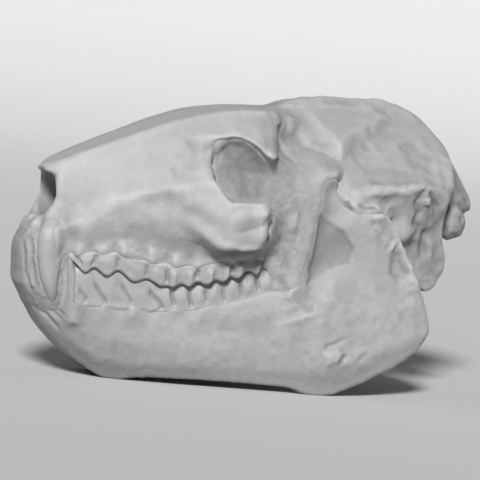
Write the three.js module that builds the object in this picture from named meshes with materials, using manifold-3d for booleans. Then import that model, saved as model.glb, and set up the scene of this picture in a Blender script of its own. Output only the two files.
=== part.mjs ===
// A fossil oreodont skull with its jaws closed, at its real size in millimetres.
// It stands on its chin and on the two angles of its lower jaw, at z = 0.
// -X is the muzzle, +X the back of the head, -Y the animal's left side, and Y = 0 the midline.
// Three pieces: the cranium with its upper teeth, the mandible with its lower teeth,
// and the rock that fills the eye sockets and holds the jaws together.

import * as THREE from "three";
import { mergeVertices } from "three/addons/utils/BufferGeometryUtils.js";
import Module from "manifold-3d";

const wasm = await Module();
wasm.setup();

// Driving dimensions.
const skullLength = 207;
const neighbourGap = 0.35;
const weldDistance = 1e-4;
const upperToothWidth = 11;
const lowerToothWidth = 7.5;
const toothRootDepth = 4;
const cuspHeight = 3;

// How finely round forms are cut into facets.
const swellingSegments = 8;
const swellingRings = 6;
const pegSides = 6;

// Long lines of the cranium, each a list of [x, distance from the midline, z].
// Together they are the ridges, rims and edges that can be traced on the bone from muzzle to occiput.
const craniumLines = {
  crown: [
    [-96, 0, 88], [-89, 0, 92.2], [-80, 0, 97.1], [-55, 0, 108.3], [-46, 0, 111.8], [-30, 0, 117],
    [-19.5, 0, 119.4], [-8, 0, 120.3], [4, 0, 121], [14, 0, 124.2], [26, 0, 127], [40, 0, 128],
    [55, 0, 127.4], [67, 0, 125.8], [75, 0, 121.4], [84, 0, 113.6], [93, 0, 103.4], [99, 0, 94.2],
    [103, 0, 87.8],
  ],
  shoulder: [
    [-96, 6, 87], [-91, 11, 90.6], [-75, 14.5, 98], [-59, 17, 105], [-43, 20, 111.6],
    [-23, 25, 117.2], [-10, 24, 118.4], [-4, 23, 118.4], [-1, 20.5, 118.8], [2, 12, 120.2], [8, 6, 121.8],
    [26, 2.6, 126], [55, 2.6, 126.2], [67, 3.2, 124.4], [76, 4.5, 119.2], [82, 9.5, 112.2],
    [84.8, 10, 109.4], [88, 5, 106.5], [95, 3.6, 97.5], [103, 3, 87],
  ],
  brow: [
    [-96, 9, 85], [-91, 13, 88], [-75, 17.5, 93.5], [-59, 21, 99], [-45, 26, 103.5],
    [-36, 33.5, 105.8], [-30, 37, 106], [-24, 38.5, 107.4], [-18, 40, 106], [-12, 42.3, 102.8],
    [-8.5, 42.5, 100], [-6.5, 38, 103], [-4, 31.5, 107], [-1, 27, 109.5], [2, 16.5, 115],
    [8, 10, 117], [26, 6.5, 119.5],
    [55, 7, 119.5], [67, 8.5, 117.5], [76, 12, 112.5], [82, 16, 107.6], [84.6, 16.6, 105.4], [88, 7.5, 102],
    [95, 4.8, 94], [103, 4, 86],
  ],
  roof: [
    [-96, 11, 82], [-91, 14, 84], [-75, 20, 88.5], [-59, 24, 93], [-45, 29.5, 98],
    [-36, 34.5, 99.5], [-33, 34.5, 99.5], [-29, 31, 101.5], [-18, 29.5, 102.5], [-12, 34, 99.5],
    [-8.5, 38, 98.5], [-6.5, 38, 98.5], [-4, 32.5, 100.5], [-1, 28, 102], [2, 19.5, 109],
    [8, 16.5, 110.5], [26, 14, 112.5],
    [55, 14, 112], [67, 15.5, 110], [76, 19, 106.5], [82, 22, 102.4], [84.2, 22.4, 100.6], [88, 10, 97],
    [95, 6.6, 91], [103, 5, 85],
  ],
  wall: [
    [-96, 12, 79], [-91, 14.5, 80], [-75, 22, 84], [-59, 26.5, 88.5], [-45, 32, 93],
    [-36, 37.5, 94.5], [-33, 36, 93.5], [-29, 28, 92.5], [-18, 25.5, 92.5], [-8.5, 24, 94],
    [-4, 23.5, 96], [-1, 23.5, 97], [2, 21, 102], [8, 20.5, 103], [26, 22.5, 105], [55, 22.5, 104],
    [67, 23, 103.5],
    [76, 25.5, 100.5], [81, 26.4, 97.4], [83.4, 26.4, 96], [87.5, 12.5, 93], [95, 8.5, 88], [103, 5.5, 83.5],
  ],
  floor: [
    [-96, 12.5, 76], [-91, 15, 75], [-75, 23.5, 79.5], [-59, 28.3, 84.5], [-45, 34.5, 88.5],
    [-36, 41, 90], [-33, 41.5, 89], [-29, 36, 84.5], [-24, 34, 80.5], [-8.5, 31, 79],
    [-6, 24, 86], [-3, 22.5, 90], [8, 22, 94], [26, 27, 97], [55, 28, 97],
    [67, 29, 97], [75, 30, 94.5], [80, 29, 92], [82.6, 28.4, 91], [87, 14, 88.5], [95, 9.5, 85], [103, 5, 82],
  ],
  cheek: [
    [-96, 13.5, 71], [-91, 16, 70], [-75, 24.5, 74], [-59, 29.8, 80], [-45, 37.5, 84.5],
    [-36, 43.8, 87], [-33.5, 45, 88], [-29.4, 47, 83], [-24.5, 49, 78.9], [-11.5, 50, 79.3],
    [-8.8, 49.5, 76.5], [-7, 38, 75], [-4, 24, 82], [8, 22.5, 86], [20, 27, 88],
    [29, 36, 84.5], [39, 38.5, 86.5], [53, 38.5, 88.8], [65, 36.5, 91.2], [72, 34.5, 93],
    [77, 31, 88], [81, 29.4, 85.6], [86, 15, 84], [95, 9.5, 81.5], [103, 4.5, 81],
  ],
  jugal: [
    [-96, 15, 65], [-91, 18, 63], [-75, 24, 68], [-63, 27, 74], [-56, 29.8, 79],
    [-49, 34.5, 81.5], [-38.6, 42.3, 80], [-28.6, 48, 74.5], [-18.4, 50.6, 71.6], [-9, 51.5, 70.6],
    [-7, 40, 70], [-4, 26, 73], [8, 23, 77], [20, 27, 80], [29, 35, 80],
    [39, 37, 81.5], [53, 36, 82], [65, 33.5, 81], [74, 30.5, 80], [79.6, 28.4, 78],
    [84, 16, 78.5], [94, 9, 78.5], [103, 4, 80],
  ],
  keel: [
    [-96, 16, 60], [-91, 19.3, 58], [-75, 23.8, 62.5], [-63, 26.5, 66.5], [-52, 31.2, 73],
    [-42.3, 37.5, 71], [-35, 42.7, 66.2], [-27, 46.5, 61], [-18.8, 48.6, 59.8], [-9, 49.3, 62.3],
    [-7, 38, 63], [-4, 27, 64], [8, 23, 68], [20, 25, 72], [29, 30, 74],
    [39, 32, 75.5], [53, 31, 74], [62, 30.5, 69], [73, 28, 68], [78, 25, 70],
    [83, 15, 73], [94, 8, 75.5], [103, 3, 79],
  ],
  recess: [
    [-96, 16, 56], [-91, 19.3, 54.5], [-75, 23.8, 57.8], [-63, 26, 59.5], [-52, 29, 62],
    [-42, 31.8, 63], [-35, 34, 62.5], [-27, 36, 61], [-9, 36, 60.8], [-7, 33, 60],
    [-4, 27, 58.5], [8, 20, 62], [20, 20, 67], [39, 24, 70], [53, 25, 69],
    [62, 26, 64.5], [74, 22, 64.5], [81, 14, 68], [94, 6, 73], [103, 2, 78.5],
  ],
  gum: [
    [-96, 15, 52], [-91, 18, 51.2], [-82, 21.3, 52], [-74, 23.6, 53.4], [-66, 25.3, 54],
    [-57.6, 27.3, 51.8], [-49.4, 29.3, 50.8], [-41, 31.3, 50.4], [-33, 33.3, 51.3], [-24.7, 34.8, 53],
    [-16.3, 35.6, 55], [-7, 34.8, 56.3], [-3, 27, 56.5], [8, 15, 60], [39, 17, 66.5],
    [53, 18, 66], [62, 19, 64], [74, 16, 65], [83, 10, 68.5], [94, 4.5, 72.5], [103, 1.5, 78.3],
  ],
  palate: [
    [-96, 0, 54], [-50, 0, 59], [-8, 0, 61.5], [8, 0, 63], [39, 0, 66.5], [62, 0, 67],
    [83, 0, 69], [94, 0, 72.5], [103, 0, 78],
  ],
};
const craniumStations = [
  -96, -91, -83, -74, -65, -56, -50, -45, -41, -38, -36, -34, -32, -29.5, -27, -24, -20, -16, -12, -9,
  -6.5, -4, -1, 2, 6, 13, 21, 28, 34, 44, 55, 66, 75, 80, 82.5, 84.7, 87, 94, 99, 103,
];

// Long lines of one half of the mandible, in the same form. The two halves are joined at the chin.
const mandibleLines = {
  topOuter: [
    [-100, 7, 33.5], [-96, 12, 33.5], [-88, 17, 34], [-79, 20, 33], [-59, 24, 33.3], [-47, 27, 33],
    [-35, 29.5, 34.5], [-22, 32, 37], [-10, 34, 41.3], [-3, 35, 43.5], [6, 37.5, 43.5], [9.5, 38.5, 45],
    [12, 38.6, 57], [14.5, 38.2, 71], [16.5, 37, 84], [18.6, 36.2, 91], [21, 36, 92.6], [25, 36, 92.6],
    [27.6, 36.4, 88.5], [29.5, 37.5, 81], [33, 39, 78.4], [42, 41, 79], [48, 41, 78.2], [51.5, 41.5, 73.5],
    [55.5, 43, 65.5], [60, 44.5, 57], [64, 45.5, 48], [67.5, 45.8, 39], [69, 45.5, 31],
  ],
  outerUpper: [
    [-100, 8, 31], [-92, 15, 28], [-79, 20.5, 27.5], [-59, 25, 28], [-35, 31.5, 28.5], [-10, 36, 33],
    [4, 39, 36], [9.5, 39.6, 38], [14.5, 38.6, 56], [21, 36.4, 68], [29.5, 37, 67], [42, 40.5, 66],
    [51.5, 42, 60], [60, 45, 49], [67.5, 46.3, 36], [69, 46, 31],
  ],
  outerMiddle: [
    [-100, 8.5, 30], [-92, 14, 25], [-79, 19.5, 21], [-59, 25.2, 19], [-35, 32.3, 19.5], [-10, 37, 21.5],
    [9.5, 41.2, 27], [21, 41.3, 42], [29.5, 41.5, 44], [42, 42.6, 46], [51.5, 43.8, 46], [60, 46.3, 39],
    [67.5, 46.9, 32], [69, 46.3, 30.5],
  ],
  outerLower: [
    [-100, 8, 29.5], [-92, 12.5, 23], [-79, 17, 14.5], [-68, 19, 8.5], [-59, 22.5, 8], [-35, 30.6, 9.5],
    [-10, 36.5, 10], [9.5, 41.5, 10.5], [22, 44.5, 13.5], [35.5, 46, 17], [48, 47.3, 23], [60, 47.8, 27],
    [67.5, 47, 28.5], [69, 46.2, 30],
  ],
  bottomOuter: [
    [-100, 5.5, 28.8], [-92, 8.5, 19.6], [-79, 10.5, 8.3], [-68, 12, 1.4], [-61, 14, -0.8], [-54, 19, 1.2],
    [-42, 24.5, 2.6], [-10, 34, 3], [8, 38.5, 2.5], [16, 40, 0.2], [22, 41, -1], [28, 42, 0.4],
    [35.5, 43.3, 3.6], [48, 44.8, 10.6], [61, 45.6, 18.4], [66, 45.5, 22.5], [69, 45, 29.5],
  ],
  bottomInner: [
    [-100, 1, 29.2], [-92, -1, 19.6], [-79, -1, 8.2], [-68, -1, 1.8], [-61, -1, -0.6], [-54, 9, 1.6],
    [-42, 17, 3], [-10, 28, 3.4], [8, 33.5, 2.9], [22, 37, -0.5], [35.5, 39.5, 4.2], [48, 41, 11.2],
    [61, 42.2, 19], [69, 43.6, 29.6],
  ],
  innerMiddle: [
    [-100, -1, 31], [-75, -1, 20], [-64, -1, 17], [-61, -1, 16], [-57, 6, 16], [-50, 13.5, 17],
    [-35, 20.5, 19], [-10, 27.5, 22], [9.5, 33.5, 27], [21, 35.2, 42], [42, 37, 46], [60, 40, 39],
    [69, 43.6, 30.5],
  ],
  topInner: [
    [-100, -1, 33], [-79, -1, 32], [-70, -1, 31], [-63, 10, 32], [-47, 17, 33], [-22, 21, 37.5],
    [-3, 26, 43.5], [6, 31, 44], [9.5, 33.5, 45.5], [12, 34.5, 57], [14.5, 34.3, 70.5], [16.5, 33.4, 83.5],
    [18.6, 32.8, 90.5], [21, 32.6, 92], [25, 32.6, 92], [27.6, 32.8, 88], [30, 32, 81], [33, 30, 78],
    [42, 27, 78.6], [48, 28, 77.6], [51.5, 34, 73], [55.5, 37, 65.2], [60, 39.3, 56.7], [64, 41, 47.7],
    [67.5, 42.8, 38.8], [69, 43.6, 31.2],
  ],
};
const mandibleStations = [
  -100, -97, -92, -85, -78, -70, -64, -59, -54, -46, -32, -18, -6, 5, 9.5, 12, 14.5, 16.5,
  18.6, 21, 25, 27.6, 29.5, 33, 40, 48, 51.5, 55.5, 60, 64, 67.5, 69,
];

// Long lines of the rock between the jaws. In front it lies close behind the front teeth, and further
// back it stays just inside the tooth rows and under the palate.
const jawRockLines = {
  roof: [
    [-97.5, 0, 49], [-93, 0, 52], [-80, 0, 52.4], [-50, 0, 57.6], [-8, 0, 60], [4, 0, 66], [39, 0, 70],
    [50, 0, 66],
  ],
  roofSide: [
    [-97.5, 4, 48.5], [-92, 12, 50], [-86, 13, 51.5], [-80, 7, 50.6], [-50, 13, 52.6], [-8, 19, 56.6],
    [2, 26, 66], [20, 27, 70], [39, 22, 68], [50, 12, 65],
  ],
  upper: [
    [-97.5, 6, 46], [-92, 14, 46], [-86, 15, 47], [-80, 9.8, 48], [-50, 17.2, 48], [-8, 23.4, 51],
    [2, 32.6, 56], [14, 33.6, 62], [30, 30, 64], [50, 14, 60],
  ],
  lower: [
    [-97.5, 6, 40], [-92, 13.5, 40], [-86, 15, 40], [-80, 9.6, 40], [-50, 15, 36], [-35, 19.6, 35],
    [-8, 24, 42], [2, 33, 45], [14, 33.4, 44], [30, 31.5, 44], [50, 13, 54],
  ],
  bottom: [
    [-97.5, 4, 38], [-92, 10, 37.6], [-86, 12, 37.6], [-80, 8, 37], [-62, 8, 34], [-56, 6.6, 22],
    [-35, 18, 18], [-10, 25.5, 17], [14, 31, 20], [30, 29, 28], [50, 10, 50],
  ],
  belly: [
    [-97.5, 0, 38], [-93, 0, 37.4], [-80, 0, 36.6], [-62, 0, 32], [-56, 0, 18], [-35, 0, 13.5], [-10, 0, 13],
    [14, 0, 18], [30, 0, 27], [50, 0, 49],
  ],
};
const jawRockStations = [-97.5, -92, -86, -80, -62, -57, -48, -36, -22, -8, -2, 6, 15, 24, 33, 42, 50];

// Long lines of the rock on one side: its open face fills the eye socket and the hollow behind the cheek.
const sideRockLines = {
  top: [
    [-37, 26, 96], [-33, 32, 98.5], [-28, 34, 102.5], [-20, 35, 104], [-12, 36, 101.5], [-9, 34, 98.5],
    [-5, 26, 98], [2, 22.5, 101], [14, 23, 99.5], [24, 27.5, 94], [34, 27, 84],
  ],
  upper: [
    [-37, 34, 92], [-33, 35.5, 93], [-20, 33.5, 94], [-9, 34, 92.5], [2, 32, 91], [14, 33, 89],
    [24, 33, 84], [34, 30, 78],
  ],
  middle: [
    [-37, 34, 86], [-33, 36.5, 83], [-20, 37.5, 80.8], [-9, 35.5, 77], [2, 34.8, 72], [11, 36.6, 70],
    [14, 35.5, 70], [26, 33.5, 68], [34, 30, 70],
  ],
  lower: [
    [-37, 31, 80], [-33, 34, 77], [-20, 36, 75.5], [-10, 35, 72], [-6, 33.5, 54], [2, 35.2, 46],
    [8, 37, 46], [14, 35, 44], [26, 33, 46], [34, 28, 60],
  ],
  inner: [
    [-37, 26, 80], [-33, 25, 77], [-20, 24, 75.5], [-10, 23, 72], [-6, 24, 54], [2, 24, 46],
    [14, 24, 44], [26, 24, 46], [34, 24, 60],
  ],
  innerTop: [
    [-37, 22, 92], [-33, 20, 94], [-20, 20, 95], [-9, 18, 93], [2, 16, 90], [14, 16, 88],
    [26, 18, 86], [34, 20, 80],
  ],
};
const sideRockStations = [-37, -33, -28, -20, -12, -9, -6, 2, 9, 13, 24, 34];

// Cheek teeth: [front x, back x, number of cusps, z of the base at the front and at the back,
// z of the tip at the front and at the back, distance of the outer face from the midline].
// The lower teeth have a flat top, which is cut away where the upper teeth bite outside them.
const upperCheekTeeth = [
  [-83.6, -75.2, 1, 53, 54, 44.7, 44.7, 22.6],
  [-74.8, -66.6, 1, 54.4, 55, 44.1, 44.1, 24.8],
  [-66.2, -54.8, 1, 54.5, 52.6, 42.5, 42.5, 27.6],
  [-54.4, -44.8, 1, 52.4, 51.8, 40.6, 40.6, 30],
  [-44.4, -35.6, 2, 51.6, 51.8, 41.8, 42.4, 32.4],
  [-35.2, -22.8, 2, 52, 53.8, 42.4, 45.2, 34.4],
  [-22.4, -4.8, 3, 54, 57.4, 46, 51, 36],
];
const lowerCheekTeeth = [
  [-80.6, -71, 0, 31.8, 31.4, 51, 51, 20.6],
  [-70.6, -60.2, 0, 31.4, 31.6, 51, 51, 23],
  [-59.8, -43.8, 0, 31.6, 32, 50, 48, 26.4],
  [-43.4, -28.8, 0, 32, 34.4, 48, 50, 29.6],
  [-28.4, -14.2, 0, 34.6, 38.4, 50, 53, 31.8],
  [-13.8, 1, 0, 38.4, 43, 54, 58, 33],
];

// The paroccipital process, a blade behind the jaw joint: its side outline as [x, z], and how far
// its inner and outer faces are from the midline.
const paroccipitalOutline = [
  [57, 80], [56, 72], [60, 63], [65, 55.5], [70, 48.5], [74, 45], [78, 48], [81.5, 54.5], [82.4, 60],
  [80, 68], [79.5, 77], [76, 82],
];
const paroccipitalInner = 21.5;
const paroccipitalOuter = 28.5;

// Rounded swellings and hollows, each by its centre and its half-sizes along the three axes.
const premaxilla = { centre: [-92.5, 0, 58], radii: [10.8, 14.5, 12], turn: -0.15 };
const canineRoot = { centre: [-91.8, -16, 58], radii: [5.8, 5.6, 8.5] };
const earCapsule = { centre: [56, -18, 61], radii: [11, 8, 9] };
const occipitalCondyle = { centre: [89.5, -12, 75.5], radii: [8, 7, 8] };
const nasalOpening = { centre: [-99, 0, 76], radii: [12, 12.8, 10.3] };
const foramenMagnum = { centre: [100, 0, 77], radii: [6, 7, 5] };

// Front teeth: [root x, distance, z, tip x, distance, z, root radius, tip radius].
const upperFrontTeeth = [
  [-100.4, 2.6, 60, -102.4, 2.6, 37, 3, 1.8],
  [-100.1, 7.4, 60, -101.8, 7.4, 36.6, 3, 1.8],
  [-97.4, 12, 60, -99, 12, 36.4, 3, 1.7],
  [-91.5, 15.8, 61, -92.2, 19.2, 34.4, 5.4, 2],
];
const lowerFrontTeeth = [
  [-89, 2.2, 21.5, -99.8, 2.2, 36.4, 2.8, 1.9],
  [-87.5, 6.2, 22, -98.8, 6.2, 36.4, 2.8, 1.9],
  [-86, 10, 22.5, -96.8, 9.8, 36.4, 2.8, 1.9],
  [-84, 13.4, 22, -94.2, 13.2, 36.4, 2.8, 1.9],
  [-81, 16.5, 24, -86.6, 19.8, 56.5, 5.4, 1.6],
];

// Value of a line at x: a smooth curve through its knots that never overshoots them.
function lineAt(line, x) {
  const last = line.length - 1;
  if (x <= line[0][0]) return [line[0][1], line[0][2]];
  if (x >= line[last][0]) return [line[last][1], line[last][2]];
  let i = 0;
  while (line[i + 1][0] < x) i++;
  const slope = (k, c) => (line[k + 1][c] - line[k][c]) / (line[k + 1][0] - line[k][0]);
  const tangent = (k, c) => {
    if (k === 0) return slope(0, c);
    if (k === last) return slope(last - 1, c);
    const before = slope(k - 1, c);
    const after = slope(k, c);
    return before * after <= 0 ? 0 : (2 * before * after) / (before + after);
  };
  const width = line[i + 1][0] - line[i][0];
  const t = (x - line[i][0]) / width;
  const blend = (c) =>
    (2 * t ** 3 - 3 * t ** 2 + 1) * line[i][c] +
    (t ** 3 - 2 * t ** 2 + t) * width * tangent(i, c) +
    (3 * t ** 2 - 2 * t ** 3) * line[i + 1][c] +
    (t ** 3 - t ** 2) * width * tangent(i + 1, c);
  return [blend(1), blend(2)];
}

// A ring right across the head: down the left side from the first line to the last, and up the right side.
function headRing(lines, x) {
  const half = Object.values(lines).map((line) => lineAt(line, x));
  const left = half.map(([h, z]) => [-h, z]);
  const onMidline = ([h]) => Math.abs(h) < weldDistance;
  const right = half.filter((p) => !onMidline(p)).reverse();
  return [...left, ...right].map(([y, z]) => new THREE.Vector3(x, y, z));
}

// A ring round one side only.
function sideRing(lines, x) {
  return Object.values(lines).map((line) => {
    const [h, z] = lineAt(line, x);
    return new THREE.Vector3(x, -h, z);
  });
}

// A closed skin over rings that all have the same number of points.
function skinOver(rings) {
  const count = rings[0].length;
  const points = rings.flat();
  const middle = (ring) => ring.reduce((sum, p) => sum.add(p), new THREE.Vector3()).divideScalar(count);
  points.push(middle(rings[0]), middle(rings.at(-1)));
  const front = points.length - 2;
  const back = points.length - 1;
  const faces = [];
  for (let k = 0; k < count; k++) {
    const next = (k + 1) % count;
    faces.push([front, next, k]);
    for (let r = 0; r < rings.length - 1; r++) {
      const a = r * count + k;
      const b = r * count + next;
      faces.push([a, b, b + count], [a, b + count, a + count]);
    }
    const offset = (rings.length - 1) * count;
    faces.push([back, offset + k, offset + next]);
  }
  const geometry = new THREE.BufferGeometry().setFromPoints(points);
  geometry.setIndex(faces.flat());
  return geometry;
}

// A geometry as a solid, turned the right way out if its faces point inwards.
function solidFrom(geometry) {
  const bare = geometry.clone();
  bare.deleteAttribute("normal");
  bare.deleteAttribute("uv");
  const merged = mergeVertices(bare, weldDistance);
  const make = (triVerts) =>
    new wasm.Manifold(
      new wasm.Mesh({ numProp: 3, vertProperties: merged.attributes.position.array, triVerts }),
    );
  const faces = new Uint32Array(merged.index.array);
  const made = make(faces);
  return made.volume() > 0 ? made : make(faces.reverse());
}

function geometryOf(solid) {
  const mesh = solid.getMesh();
  const geometry = new THREE.BufferGeometry();
  geometry.setAttribute("position", new THREE.BufferAttribute(new Float32Array(mesh.vertProperties), 3));
  geometry.setIndex(new THREE.BufferAttribute(new Uint32Array(mesh.triVerts), 1));
  return geometry;
}

// The same solid with each corner moved out by the gap that neighbouring pieces keep.
function grown(solid, gap) {
  const geometry = geometryOf(solid);
  geometry.computeVertexNormals();
  const place = geometry.attributes.position;
  const normal = geometry.attributes.normal;
  for (let i = 0; i < place.count; i++) {
    place.setXYZ(
      i,
      place.getX(i) + normal.getX(i) * gap,
      place.getY(i) + normal.getY(i) * gap,
      place.getZ(i) + normal.getZ(i) * gap,
    );
  }
  return solidFrom(geometry);
}

function mirrored(geometry) {
  const copy = geometry.clone();
  copy.scale(1, -1, 1);
  return copy;
}

const bothSides = (geometry) => [solidFrom(geometry), solidFrom(mirrored(geometry))];
const joined = (solids) => solids.reduce((all, next) => all.add(next));
const largestBody = (solid) => solid.decompose().sort((a, b) => b.volume() - a.volume())[0];

// An egg-shaped swelling.
function swelling(centre, radii, turn = 0) {
  const geometry = new THREE.SphereGeometry(1, swellingSegments, swellingRings);
  geometry.scale(...radii);
  geometry.rotateY(turn);
  geometry.translate(...centre);
  return geometry;
}

// A tapering peg between two points on the left side.
function peg([x0, h0, z0, x1, h1, z1, rootRadius, tipRadius]) {
  const root = new THREE.Vector3(x0, -h0, z0);
  const tip = new THREE.Vector3(x1, -h1, z1);
  const geometry = new THREE.CylinderGeometry(tipRadius, rootRadius, root.distanceTo(tip), pegSides);
  const along = tip.clone().sub(root).normalize();
  geometry.applyQuaternion(new THREE.Quaternion().setFromUnitVectors(new THREE.Vector3(0, 1, 0), along));
  const middle = root.add(tip).multiplyScalar(0.5);
  geometry.translate(middle.x, middle.y, middle.z);
  return geometry;
}

// A cheek tooth: its side outline, with one low valley between cusps, carried across the tooth row.
function cheekTooth([x0, x1, cusps, base0, base1, tip0, tip1, outer], width) {
  const shape = new THREE.Shape();
  const up = Math.sign(tip0 - base0);
  const rootDepth = toothRootDepth * up;
  const pitch = (x1 - x0) / cusps;
  const tipAt = (x) => tip0 + ((tip1 - tip0) * (x - x0)) / (x1 - x0);
  const shoulderDrop = cuspHeight * up;
  shape.moveTo(x0, base0 - rootDepth);
  shape.lineTo(x0, tipAt(x0) - shoulderDrop);
  for (let k = 0; k < cusps; k++) {
    const peak = x0 + pitch * (k + 0.5);
    shape.lineTo(peak, tipAt(peak));
    const valley = x0 + pitch * (k + 1);
    if (k < cusps - 1) shape.lineTo(valley, tipAt(valley) - shoulderDrop);
  }
  shape.lineTo(x1, tipAt(x1) - shoulderDrop);
  shape.lineTo(x1, base1 - rootDepth);
  const geometry = new THREE.ExtrudeGeometry(shape, { depth: width, bevelEnabled: false });
  geometry.rotateX(Math.PI / 2);
  geometry.translate(0, -outer + width, 0);
  return geometry;
}

// A flat blade on the left side: an outline in side view carried between two distances from the midline.
function blade(outline, inner, outer) {
  const shape = new THREE.Shape(outline.map(([x, z]) => new THREE.Vector2(x, z)));
  const geometry = new THREE.ExtrudeGeometry(shape, { depth: outer - inner, bevelEnabled: false });
  geometry.rotateX(Math.PI / 2);
  geometry.translate(0, -inner, 0);
  return geometry;
}

function makeCranium() {
  const skull = solidFrom(skinOver(craniumStations.map((x) => headRing(craniumLines, x))));
  const additions = [
    solidFrom(swelling(premaxilla.centre, premaxilla.radii, premaxilla.turn)),
    ...bothSides(swelling(canineRoot.centre, canineRoot.radii)),
    ...bothSides(swelling(occipitalCondyle.centre, occipitalCondyle.radii)),
    ...bothSides(swelling(earCapsule.centre, earCapsule.radii)),
    ...bothSides(blade(paroccipitalOutline, paroccipitalInner, paroccipitalOuter)),
    ...upperFrontTeeth.flatMap((tooth) => bothSides(peg(tooth))),
    ...upperCheekTeeth.flatMap((tooth) => bothSides(cheekTooth(tooth, upperToothWidth))),
  ];
  const hollows = [nasalOpening, foramenMagnum].map((hollow) =>
    solidFrom(swelling(hollow.centre, hollow.radii)),
  );
  return hollows.reduce((rest, hollow) => rest.subtract(hollow), joined([skull, ...additions]));
}

function makeMandible(cranium) {
  const half = skinOver(mandibleStations.map((x) => sideRing(mandibleLines, x)));
  const whole = joined([
    ...bothSides(half),
    ...lowerFrontTeeth.flatMap((tooth) => bothSides(peg(tooth))),
    ...lowerCheekTeeth.flatMap((tooth) => bothSides(cheekTooth(tooth, lowerToothWidth))),
  ]);
  const table = new THREE.BoxGeometry(2 * skullLength, skullLength, skullLength);
  table.translate(0, 0, -skullLength / 2);
  return largestBody(whole.subtract(grown(cranium, neighbourGap)).subtract(solidFrom(table)));
}

function makeRock(cranium, mandible) {
  const filling = joined([
    solidFrom(skinOver(jawRockStations.map((x) => headRing(jawRockLines, x)))),
    ...bothSides(skinOver(sideRockStations.map((x) => sideRing(sideRockLines, x)))),
  ]);
  const neighbours = [cranium, mandible, grown(cranium, neighbourGap), grown(mandible, neighbourGap)];
  return largestBody(neighbours.reduce((rest, neighbour) => rest.subtract(neighbour), filling));
}

function piece(name, solid, material) {
  const mesh = new THREE.Mesh(geometryOf(solid), material);
  mesh.name = name;
  return mesh;
}

const bone = new THREE.MeshStandardMaterial({ color: 0xc9c8c6, roughness: 0.75, metalness: 0 });
const stone = new THREE.MeshStandardMaterial({ color: 0xb4b2af, roughness: 0.95, metalness: 0 });

const cranium = makeCranium();
const mandible = makeMandible(cranium);
const rock = makeRock(cranium, mandible);

// The lines are traced from a point near the middle of the skull: half a step puts it at the middle exactly.
const { min, max } = joined([cranium, mandible]).boundingBox();
const middleX = (min[0] + max[0]) / 2;

const skullGroup = new THREE.Group();
skullGroup.add(
  piece("cranium", cranium, bone),
  piece("mandible", mandible, bone),
  piece("rock_filling", rock, stone),
);
skullGroup.position.x = -middleX;

export default skullGroup;
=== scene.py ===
# %% [markdown]
# A fossil oreodont skull with its jaws closed, lying in soft museum light.
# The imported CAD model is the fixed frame: the muzzle points to -X, the back of the head to +X,
# the animal's left side to -Y, and the skull stands on its chin and jaw angles at z = 0.
# Lengths in this lesson are in millimetres, and helpers turn them into Blender's metres.

# %% Load the frame
import math
from collections import namedtuple

import bpy
import numpy as np
from mathutils import Matrix, Vector


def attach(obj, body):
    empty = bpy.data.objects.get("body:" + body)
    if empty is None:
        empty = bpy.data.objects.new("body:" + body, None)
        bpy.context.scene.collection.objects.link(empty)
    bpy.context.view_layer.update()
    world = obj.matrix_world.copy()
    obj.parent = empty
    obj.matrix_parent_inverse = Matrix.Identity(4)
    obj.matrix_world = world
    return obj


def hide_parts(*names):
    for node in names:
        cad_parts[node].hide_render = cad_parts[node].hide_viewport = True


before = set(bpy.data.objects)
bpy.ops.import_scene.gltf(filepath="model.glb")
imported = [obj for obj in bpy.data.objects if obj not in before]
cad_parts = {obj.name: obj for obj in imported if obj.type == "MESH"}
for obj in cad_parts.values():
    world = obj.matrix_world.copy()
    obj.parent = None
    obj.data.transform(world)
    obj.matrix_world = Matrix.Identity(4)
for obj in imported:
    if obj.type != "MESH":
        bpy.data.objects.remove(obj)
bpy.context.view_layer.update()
MM = 0.001
LEFT, RIGHT = -1, 1

# %% [markdown]
# The camera stands to the front left of the skull and a little above it, and far off, so the long
# muzzle isn't stretched. A long lens from one metre away does that. The skull lies level on the
# floor, and the camera is rolled by a few degrees instead of tipping the skull.

# %% Camera
camera_turn, camera_rise, camera_roll = math.radians(20), math.radians(4), math.radians(5)
camera_distance, camera_target = 1000, Vector((-3.5, 0, 61.2))
towards_camera = Vector((
    -math.sin(camera_turn) * math.cos(camera_rise),
    -math.cos(camera_turn) * math.cos(camera_rise),
    math.sin(camera_rise),
))
bpy.ops.object.camera_add(location=(camera_target + towards_camera * camera_distance) * MM)
camera = bpy.context.object
camera.rotation_mode = "QUATERNION"
camera.rotation_quaternion = (
    towards_camera.to_track_quat("Z", "Y") @ Matrix.Rotation(camera_roll, 4, "Z").to_quaternion()
)
camera.data.sensor_width = 36
camera.data.lens = 171.75
camera.data.clip_end = 20
bpy.context.scene.camera = camera
print("camera at", [round(v, 3) for v in camera.location])

# %% [markdown]
# A studio for a bone is plain: a pale floor that curves up all round like a dish, so that no
# horizon shows from any side. The dish starts as a flat disc whose rim is extruded upwards and
# outwards, step by step. Its grey is dim enough to throw only a little light up under the skull.

# %% Floor
def alone(piece):
    """Only this piece is selected and active, so an operator acts on nothing else."""
    if bpy.context.mode != "OBJECT":
        bpy.ops.object.mode_set(mode="OBJECT")
    bpy.ops.object.select_all(action="DESELECT")
    piece.select_set(True)
    bpy.context.view_layer.objects.active = piece
    return piece


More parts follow.
